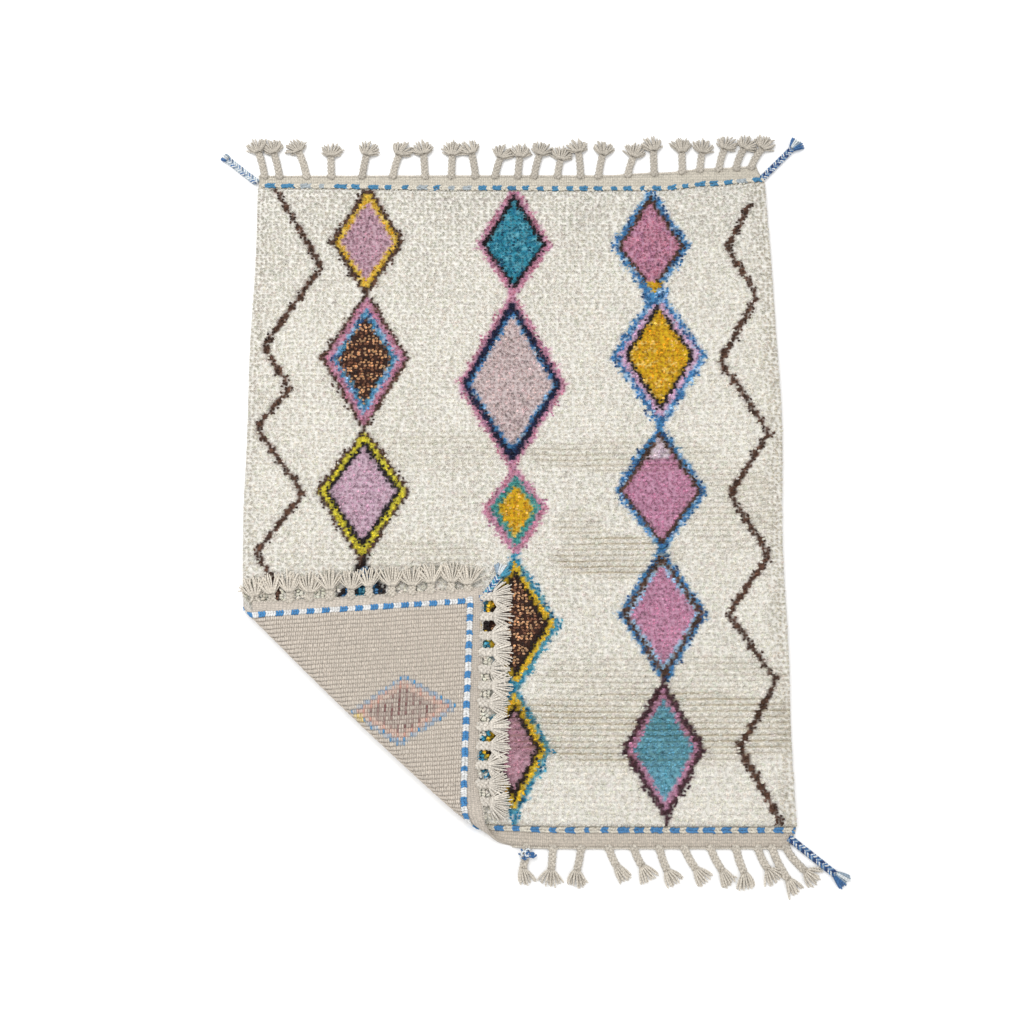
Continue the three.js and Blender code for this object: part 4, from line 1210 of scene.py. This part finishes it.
def makeTwining():
    rng = np.random.default_rng(9)
    gathered = [[], [], [], []]
    for row in twinedRows:
        for pool, values in zip(gathered, twinedPoints(row, rng)):
            pool.extend(values)
    roots, growths, facings, colors = (np.concatenate(pool) for pool in gathered)
    piece = addLumps("twined_rows", lumpTree, roots, growths, facings, colors, np.full(len(roots), 0.5), np.ones(len(roots)), **{
        "Width": twining["length"], "Depth": twining["width"], "Root width": 1.0,
        "Blunt": 0.35, "Uneven": 0.08, "Seed": 41, "Material": pileMaterial})
    return settle(piece, "corner_yarn")


twinedPiece = makeTwining()
print("dash rows twined")


# Fringe: three-strand plaits with heads of spread yarns, and a twisted cord along the hem

plait = {
    "strand": 0.0036,
    "sway": 0.0054,
    "weaveHeight": 0.0018,
    "pitch": 0.0270,
    "step": 0.0032,
    "lean": 1.5,
    "rootInside": 0.006,
    "flare": 0.0105,
    "flareLength": 0.011,
    "flareYarn": 0.0024,
    "beside": 0.50,
    "share": 0.60,
}
head = {
    "rise": 0.0062,
    "foot": 0.0062,
    "inNeck": 0.004,
    "radii": (0.80, 0.95, 1.0, 1.0, 1.0, 0.80),
    "tones": (0.90, 1.05),
}
hemCord = {"yarn": 0.0018, "turn": 0.0014, "pitch": 0.0095, "step": 0.0030, "out": 0.0004, "flapOut": -0.0010,
           "rise": 0.0040}

# Each head: its yarns and their radius, its length and spread to a side (radians), how much shorter
# its sides are, and how its yarns turn at the neck and at their ends
farHead = {"yarns": 19, "yarn": 0.0022, "length": 0.036, "spread": 1.05, "round": 0.60, "opening": 1.10,
           "closing": 0.75, "curl": 0.18, "vary": 0.12, "trim": 0.06}
nearHead = {"yarns": 11, "yarn": 0.0022, "length": 0.034, "spread": 0.56, "round": 0.35, "opening": 1.35,
            "closing": 0.55, "curl": 0.22, "vary": 0.22, "trim": 0.06}
flapEndHead = {"yarns": 29, "yarn": 0.0015, "length": 0.041, "spread": 1.00, "round": 0.25, "opening": 1.15,
               "closing": 0.75, "curl": 0.12, "vary": 0.10, "trim": 0.08}
flapSideHead = {"yarns": 21, "yarn": 0.0018, "length": 0.043, "spread": 0.95, "round": 0.35, "opening": 1.10,
                "closing": 0.70, "curl": 0.30, "vary": 0.16, "trim": 0.09}
braidHead = {"opening": 0.9, "closing": 0.6, "curl": 0.06, "vary": 0.0, "trim": 0.05}

# Each fringe: its side, the floor under it, its wool, and its plaits as place, lean and reach in mm
fringes = [
    {"name": "fringe_far", "side": (0, 1), "axis": 0, "floor": 0.0, "head": farHead, "wool": "yarn", "tones": (0.78, 0.85), "width": 1.06, "braids": [
        (-583, -26, 98), (-548, -24, 96), (-484, -32, 99), (-426, -4, 89), (-353, 15, 92), (-281, 23, 91),
        (-205, -7, 94), (-143, 3, 91), (-86, -15, 95), (-40, 22, 83), (14, 8, 86), (52, 21, 91), (107, 14, 79),
        (162, -7, 99), (204, 17, 91), (273, 24, 82), (335, -1, 96), (402, -1, 87), (443, 12, 80), (488, 24, 87),
        (528, 34, 85), (564, 46, 80)]},
    {"name": "fringe_near", "side": (0, -1), "axis": 0, "floor": 0.0, "head": nearHead, "wool": "yarn", "tones": (0.90, 1.08), "width": 1.03, "braids": [
        (32, -16, 81), (87, -7, 83), (147, -17, 83), (205, 32, 72), (258, 34, 72), (313, 28, 83), (366, 42, 77),
        (422, 40, 80), (476, 27, 88), (522, 36, 79), (553, 48, 99), (582, 64, 77)]},
    {"name": "fringe_flap_end", "side": (1, 0), "axis": 1, "floor": 0.0184, "head": flapEndHead, "wool": "paleYarn", "tones": (0.94, 1.05), "width": 1.18, "braids": [
        (-231, 1, 66), (-275, 2, 68), (-317, 1, 65), (-352, -1, 70), (-389, -3, 66), (-424, 0, 69),
        (-460, -5, 65), (-512, 3, 67), (-552, -2, 70), (-593, 2, 66), (-632, -3, 68), (-669, -4, 64)]},
    {"name": "fringe_flap_side", "side": (0, 1), "axis": 0, "floor": 0.0184, "head": flapSideHead, "wool": "yarn", "tones": (0.95, 1.08), "width": 1.06, "braids": [
        (-558, -16, 59), (-525, -6, 64), (-486, -4, 66), (-443, 3, 62), (-399, -2, 65), (-354, 5, 63),
        (-313, -3, 66), (-264, 2, 64), (-220, 4, 62), (-177, -2, 65), (-134, 3, 64), (-96, -3, 56)]},
]


def rimLine(name):
    at = np.linspace(0, 1, 240)
    if name == "fringe_far":
        x = mix(-plan["halfWidth"], plan["halfWidth"], at)
        return lay(x, farEdgeAt(x, "hem"), 0.0)
    if name == "fringe_near":
        start = fold["start"][0] + (fold["start"][1] - plan["nearHem"]) * foldNormal[1] / foldNormal[0]
        return lay(mix(start, plan["halfWidth"], at), plan["nearHem"], 0.0)
    if name == "fringe_flap_end":
        end = fold["start"][0] + ((fold["start"][1] - plan["nearHem"]) * foldNormal[1] - foldLength) / foldNormal[0]
        return lay(mix(flatTip[0], end, at), plan["nearHem"], 0.0)
    return lay(flatTip[0], mix(plan["nearHem"], plan["sideBandStart"], at), 0.0)


def rimAt(line, axis, value):
    order = np.argsort(line[:, axis])
    return np.array([np.interp(value, line[order, axis], line[order, k]) for k in range(3)])


# A plait of three strands from its root to its neck, and the way it points there.
# A strand has one yarn for each of its colours, side by side.
def plaitLines(root, side, tip, rest, size, strands, rng, headLength):
    way = tip[:2] - root[:2]
    neck = root[:2] + way * (1 - headLength / np.linalg.norm(way))
    forward = side * np.dot(neck - root[:2], side)
    across = neck - root[:2] - forward
    length = np.linalg.norm(neck - root[:2])
    count = max(int(length / plait["step"]), 6)
    t = np.linspace(0, 1, count)
    middle = root[:2] + forward * t[:, None] + across * (t ** plait["lean"])[:, None]
    heading = unit(np.gradient(middle, axis=0))
    sideways = np.stack([-heading[:, 1], heading[:, 0]], axis=1)
    height = mix(root[2], rest, smooth(2.5 * t))
    phase0 = rng.random() * 2 * math.pi
    lines = []
    narrowing = mix(1.0, 0.9, smooth((t - 0.8) / 0.2))
    for k, colors in enumerate(strands):
        thin = plait["share"] if len(colors) > 1 else 1.0
        for number, yarnColor in enumerate(colors):
            beside = (number - (len(colors) - 1) / 2) * plait["beside"]
            phase = 2 * math.pi * (length * t / (plait["pitch"] * size) + k / 3) + phase0 + beside
            place = middle + sideways * (plait["sway"] * size * np.sin(phase))[:, None]
            z = height + plait["weaveHeight"] * size * np.sin(2 * phase)
            radius = plait["strand"] * size * thin * narrowing * (1 + rng.normal(0, 0.04, count))
            color = yarnColor * (1 + rng.normal(0, 0.03)) * (1 + rng.normal(0, 0.03, count))[:, None]
            lines.append({"points": np.column_stack([place, z]), "radius": radius, "color": np.clip(color, 0, 1)})
    return lines, np.array([*neck, height[-1]]), heading[-1]


# The loose yarns past a plait's neck, in two layers, spread like a fan
def headLines(neck, heading, floor, size, colors, rng, form):
    lines = []
    yarn = form["yarn"]
    radius = yarn * np.array(head["radii"])
    count = len(radius)
    sideways = np.array([-heading[1], heading[0]])
    spread = form["spread"] * (1 + rng.normal(0, form["vary"]))
    turnAll = rng.normal(0, form["vary"])
    for k, aim in enumerate(np.linspace(-1, 1, form["yarns"])):
        upper = k % 2
        turnTo = (aim + rng.normal(0, 0.05)) * spread * (0.9 if upper else 1.0)
        reach = form["length"] * math.cos(min(abs(turnTo), 1.4)) ** form["round"]
        reach = reach * (1 + rng.normal(0, form["trim"]))
        t = np.linspace(0, 1, count)
        turn = turnTo * mix(form["opening"], form["closing"], t) + turnAll + rng.normal(0, form["curl"]) * t ** 2
        cos, sin = np.cos(turn), np.sin(turn)
        steps = np.stack([heading[0] * cos - heading[1] * sin, heading[0] * sin + heading[1] * cos], axis=1)
        walk = np.concatenate([[[0, 0]], np.cumsum(steps[1:] * reach / (count - 1), axis=0)])
        start = neck[:2] - heading * head["inNeck"] + sideways * head["foot"] * size * math.sin(aim * 1.2)
        lift = (head["rise"] + yarn * upper) * size * np.cos(t * math.pi * 0.5) ** 0.7 + 1.2 * yarn * upper
        color = colors[k * len(colors) // form["yarns"]] * (1 + rng.normal(0, 0.05))
        color = color * np.linspace(*head["tones"], count)[:, None]
        lines.append({"points": np.column_stack([start + walk, floor + yarn + lift]), "radius": radius,
                      "color": np.clip(color, 0, 1)})
    return lines


# A twisted cord along the hem
def hemLines(line, side, color, rng):
    span = np.concatenate([[0], np.cumsum(np.linalg.norm(np.diff(line, axis=0), axis=1))])
    at = np.arange(0, span[-1], hemCord["step"])
    middle = np.stack([np.interp(at, span, line[:, k]) for k in range(3)], axis=1)
    lines = []
    for k in (0, 1):
        phase = 2 * math.pi * at / hemCord["pitch"] + k * math.pi
        onFloor = middle[:, 2] < 0.01
        out = np.where(onFloor, hemCord["out"], hemCord["flapOut"]) + hemCord["turn"] * np.cos(phase)
        place = middle[:, :2] + np.array(side) * out[:, None]
        base = np.where(onFloor, hemCord["rise"], -0.0022)
        z = middle[:, 2] + base + hemCord["turn"] * np.sin(phase)
        lines.append({"points": np.column_stack([place, np.maximum(z, hemCord["yarn"])]),
                      "radius": hemCord["yarn"], "color": color * (1 + rng.normal(0, 0.02))})
    return lines


# Two short yarns that run from the hem into a plait's root, so that it widens there
def flareLines(edge, side, heading, z, color):
    sideways = np.array([-side[1], side[0]])
    lines = []
    for hand in (-1, 1):
        t = np.linspace(0, 1, 5)[:, None]
        start = edge + sideways * hand * plait["flare"]
        end = edge + heading * plait["flareLength"] + sideways * hand * 0.0035
        bend = (start + end) / 2 - sideways * hand * 0.003
        place = start * (1 - t) ** 2 + bend * 2 * t * (1 - t) + end * t ** 2
        lines.append({"points": np.column_stack([place, np.full(5, z)]), "radius": plait["flareYarn"], "color": color})
    return lines


def makeFringe(fringe, seed):
    rng = np.random.default_rng(seed)
    side = np.array(fringe["side"], float)
    line = rimLine(fringe["name"])
    size, form = fringe["width"], fringe["head"]
    rest = fringe["floor"] + (plait["strand"] + plait["weaveHeight"]) * size
    color = linearColor(fringe["wool"])
    strands, yarns = [], []
    for at, lean, reach in fringe["braids"]:
        edge = rimAt(line, fringe["axis"], at / 1000)
        tip = edge[:2] + side * reach / 1000 + np.abs(side[::-1]) * lean / 1000
        start = np.array([*(edge[:2] - side * plait["rootInside"]), max(edge[2] - plait["strand"], rest)])
        own = color * fringe["tones"][0] * (1 + rng.normal(0, 0.02))
        loose = color * fringe["tones"][1] * (1 + rng.normal(0, 0.02))
        made, neck, heading = plaitLines(start, side, tip, rest, size, [[own]] * 3, rng, form["length"])
        strands += made
        strands += flareLines(edge[:2], side, unit(neck[:2] - edge[:2]), max(edge[2] - 0.003, rest - 0.001), own)
        yarns += headLines(neck, heading, fringe["floor"], size, [loose], rng, form)
    yarns += hemLines(line, fringe["side"], color, rng)
    plaits = settle(addYarns(fringe["name"] + "_plaits", strands, 6), "fringe_yarn", fringe["name"])
    heads = settle(addYarns(fringe["name"] + "_heads", yarns, 5), "fringe_yarn", fringe["name"])
    return [plaits, heads]


fringePieces = [piece for k, fringe in enumerate(fringes) for piece in makeFringe(fringe, 50 + k)]
print("fringe plaited")


# Blue and white braids at the corners, one at the folded tip, and a short tuft at the fold

cordWools = {
    "mostlyBlue": [("cordBlue", "cordNavy", "cordWhite"), ("cordBlue", "cordWhite", "cordNavy"),
                   ("cordNavy", "cordBlue", "cordGrey")],
    "mostlyWhite": [("cordWhite", "cordGrey", "cordWhite"), ("cordGrey", "cordWhite", "cordBlue"),
                    ("cordWhite", "cordNavy", "cordGrey")],
    "mixed": [("cordTeal", "cordWhite", "cordBlue"), ("cordNavy", "cordTeal", "cordWhite"),
              ("cordBlue", "cordWhite", "cordTeal")],
}
cornerBraids = [
    {"name": "corner_braid_far_left", "root": (-0.600, 0.750), "tip": (-0.686, 0.820), "floor": 0.0, "size": 1.16,
     "wools": "mostlyWhite", "ends": ["cordGrey", "cordWhite", "cordBlue"],
     "head": {**braidHead, "yarns": 9, "yarn": 0.0021, "length": 0.016, "spread": 0.22, "round": 0.5}},
    {"name": "corner_braid_far_right", "root": (0.589, 0.761), "tip": (0.684, 0.858), "floor": 0.0, "size": 1.05,
     "wools": "mostlyBlue", "ends": ["cordBlue", "cordGrey", "cordWhite", "cordBlue"],
     "head": {**braidHead, "yarns": 13, "yarn": 0.0021, "length": 0.028, "spread": 0.62, "round": 0.3}},
    {"name": "corner_braid_near_right", "root": (0.590, -0.745), "tip": (0.711, -0.841), "floor": 0.0, "size": 1.12,
     "wools": "mostlyBlue", "ends": ["cordBlue", "cordBlue", "cordGrey", "cordWhite", "cordGrey"],
     "head": {**braidHead, "yarns": 15, "yarn": 0.0021, "length": 0.030, "spread": 0.50, "round": 0.3}},
    {"name": "corner_braid_flap_tip", "root": (-0.070, -0.236), "tip": (-0.010, -0.160), "floor": 0.0184,
     "size": 1.02, "wools": "mixed", "way": (1.0, 0.60), "ends": ["cordTeal", "cordWhite", "cordGrey"],
     "head": {**braidHead, "yarns": 17, "yarn": 0.0022, "length": 0.026, "spread": 0.95, "round": 0.4}},
]
foldTuft = {"at": (0.031, -0.778), "size": (0.020, 0.011), "low": 0.009, "yarns": 22, "yarn": 0.0019, "curl": 0.0048}


def makeCornerBraid(corner, seed):
    rng = np.random.default_rng(seed)
    root, tip = np.array(corner["root"]), np.array(corner["tip"])
    strands = [[linearColor(name) for name in strand] for strand in cordWools[corner["wools"]]]
    size, form = corner["size"], corner["head"]
    rest = corner["floor"] + (plait["strand"] + plait["weaveHeight"]) * size
    start = np.array([*root, rest + 0.001])
    way = unit(np.array(corner.get("way", tip - root)))
    lines, neck, heading = plaitLines(start, way, tip, rest, size, strands, rng, form["length"])
    ends = [linearColor(name) for name in corner["ends"]]
    lines += headLines(neck, heading, corner["floor"], size, ends, rng, form)
    return settle(addYarns(corner["name"] + "_yarn", lines, 6), "corner_yarn", corner["name"])


# A ball of short curly yarns, tied over the hem beside the fold
def makeFoldTuft():
    rng = np.random.default_rng(81)
    lines = []
    for k in range(foldTuft["yarns"]):
        turn = rng.random() * 2 * math.pi
        away = math.sqrt(rng.random()) * 0.85
        middle = np.array(foldTuft["at"]) + np.array(foldTuft["size"]) * away * np.array([math.cos(turn), math.sin(turn)])
        bend = np.linspace(0, 1, 7) * rng.uniform(2.5, 4.5) + rng.random() * 6
        curl = foldTuft["curl"] * rng.uniform(0.7, 1.2)
        place = middle + curl * np.stack([np.cos(bend), np.sin(bend)], axis=1)
        z = foldTuft["low"] + 0.005 * (1 - away) + 0.003 * np.sin(np.linspace(0, math.pi, 7))
        color = linearColor("cordWhite" if k % 5 in (1, 3) else "cordBlue") * (1 + rng.normal(0, 0.08))
        lines.append({"points": np.column_stack([place, z]), "radius": foldTuft["yarn"], "color": np.clip(color, 0, 1)})
    return settle(addYarns("corner_tuft_fold_yarn", lines, 6), "corner_yarn", "corner_tuft_fold")


cornerPieces = [makeCornerBraid(corner, 70 + k) for k, corner in enumerate(cornerBraids)] + [makeFoldTuft()]
print("corner braids plaited")


# Pale floor, soft light and the camera at the photo's angle

stage = {
    "floorSize": 14.0,
    "floorColor": (0.93, 0.93, 0.93, 1.0),
    "worldStrength": 0.86,
    "keyPower": 112.0,
    "keySize": 3.2,
    "keyAt": (-1.6, 1.6, 3.6),
    "fillPower": 30.0,
    "fillAt": (2.2, -1.2, 3.2),
    "cameraAt": (0.0, -0.5622, 2.7504),
    "cameraTilt": math.radians(10.8),
    "lens": 43.95,
}


def makeFloor():
    half = stage["floorSize"] / 2
    corners = [(-half, -half, 0), (half, -half, 0), (half, half, 0), (-half, half, 0)]
    floor = addObject("floor", corners, faces=[(0, 1, 2, 3)])
    material = bpy.data.materials.new("paleFloor")
    material.use_nodes = True
    shader = material.node_tree.nodes["Principled BSDF"]
    shader.inputs["Base Color"].default_value = stage["floorColor"]
    shader.inputs["Roughness"].default_value = 0.9
    shader.inputs["Specular IOR Level"].default_value = 0.1
    floor.data.materials.append(material)


def addLight(name, place, power, size):
    light = bpy.data.lights.new(name, "AREA")
    light.energy = power
    light.size = size
    lamp = bpy.data.objects.new(name, light)
    bpy.context.scene.collection.objects.link(lamp)
    lamp.location = place
    across = math.hypot(place[0], place[1])
    lamp.rotation_euler = (math.atan2(across, place[2]), 0, math.atan2(place[0], -place[1]))


def makeCamera():
    camera = bpy.data.objects.new("camera", bpy.data.cameras.new("camera"))
    bpy.context.scene.collection.objects.link(camera)
    camera.location = stage["cameraAt"]
    camera.rotation_euler = (stage["cameraTilt"], 0, 0)
    camera.data.lens = stage["lens"]
    camera.data.sensor_width = 36
    camera.data.sensor_fit = "HORIZONTAL"
    bpy.context.scene.camera = camera


makeFloor()
addLight("key", stage["keyAt"], stage["keyPower"], stage["keySize"])
addLight("fill", stage["fillAt"], stage["fillPower"], stage["keySize"])
makeCamera()
world = bpy.data.worlds.new("studio")
world.use_nodes = True
world.node_tree.nodes["Background"].inputs["Strength"].default_value = stage["worldStrength"]
world.node_tree.nodes["Background"].inputs["Color"].default_value = (1, 1, 1, 1)
bpy.context.scene.world = world
bpy.context.scene.view_settings.view_transform = "Standard"
print("stage set")
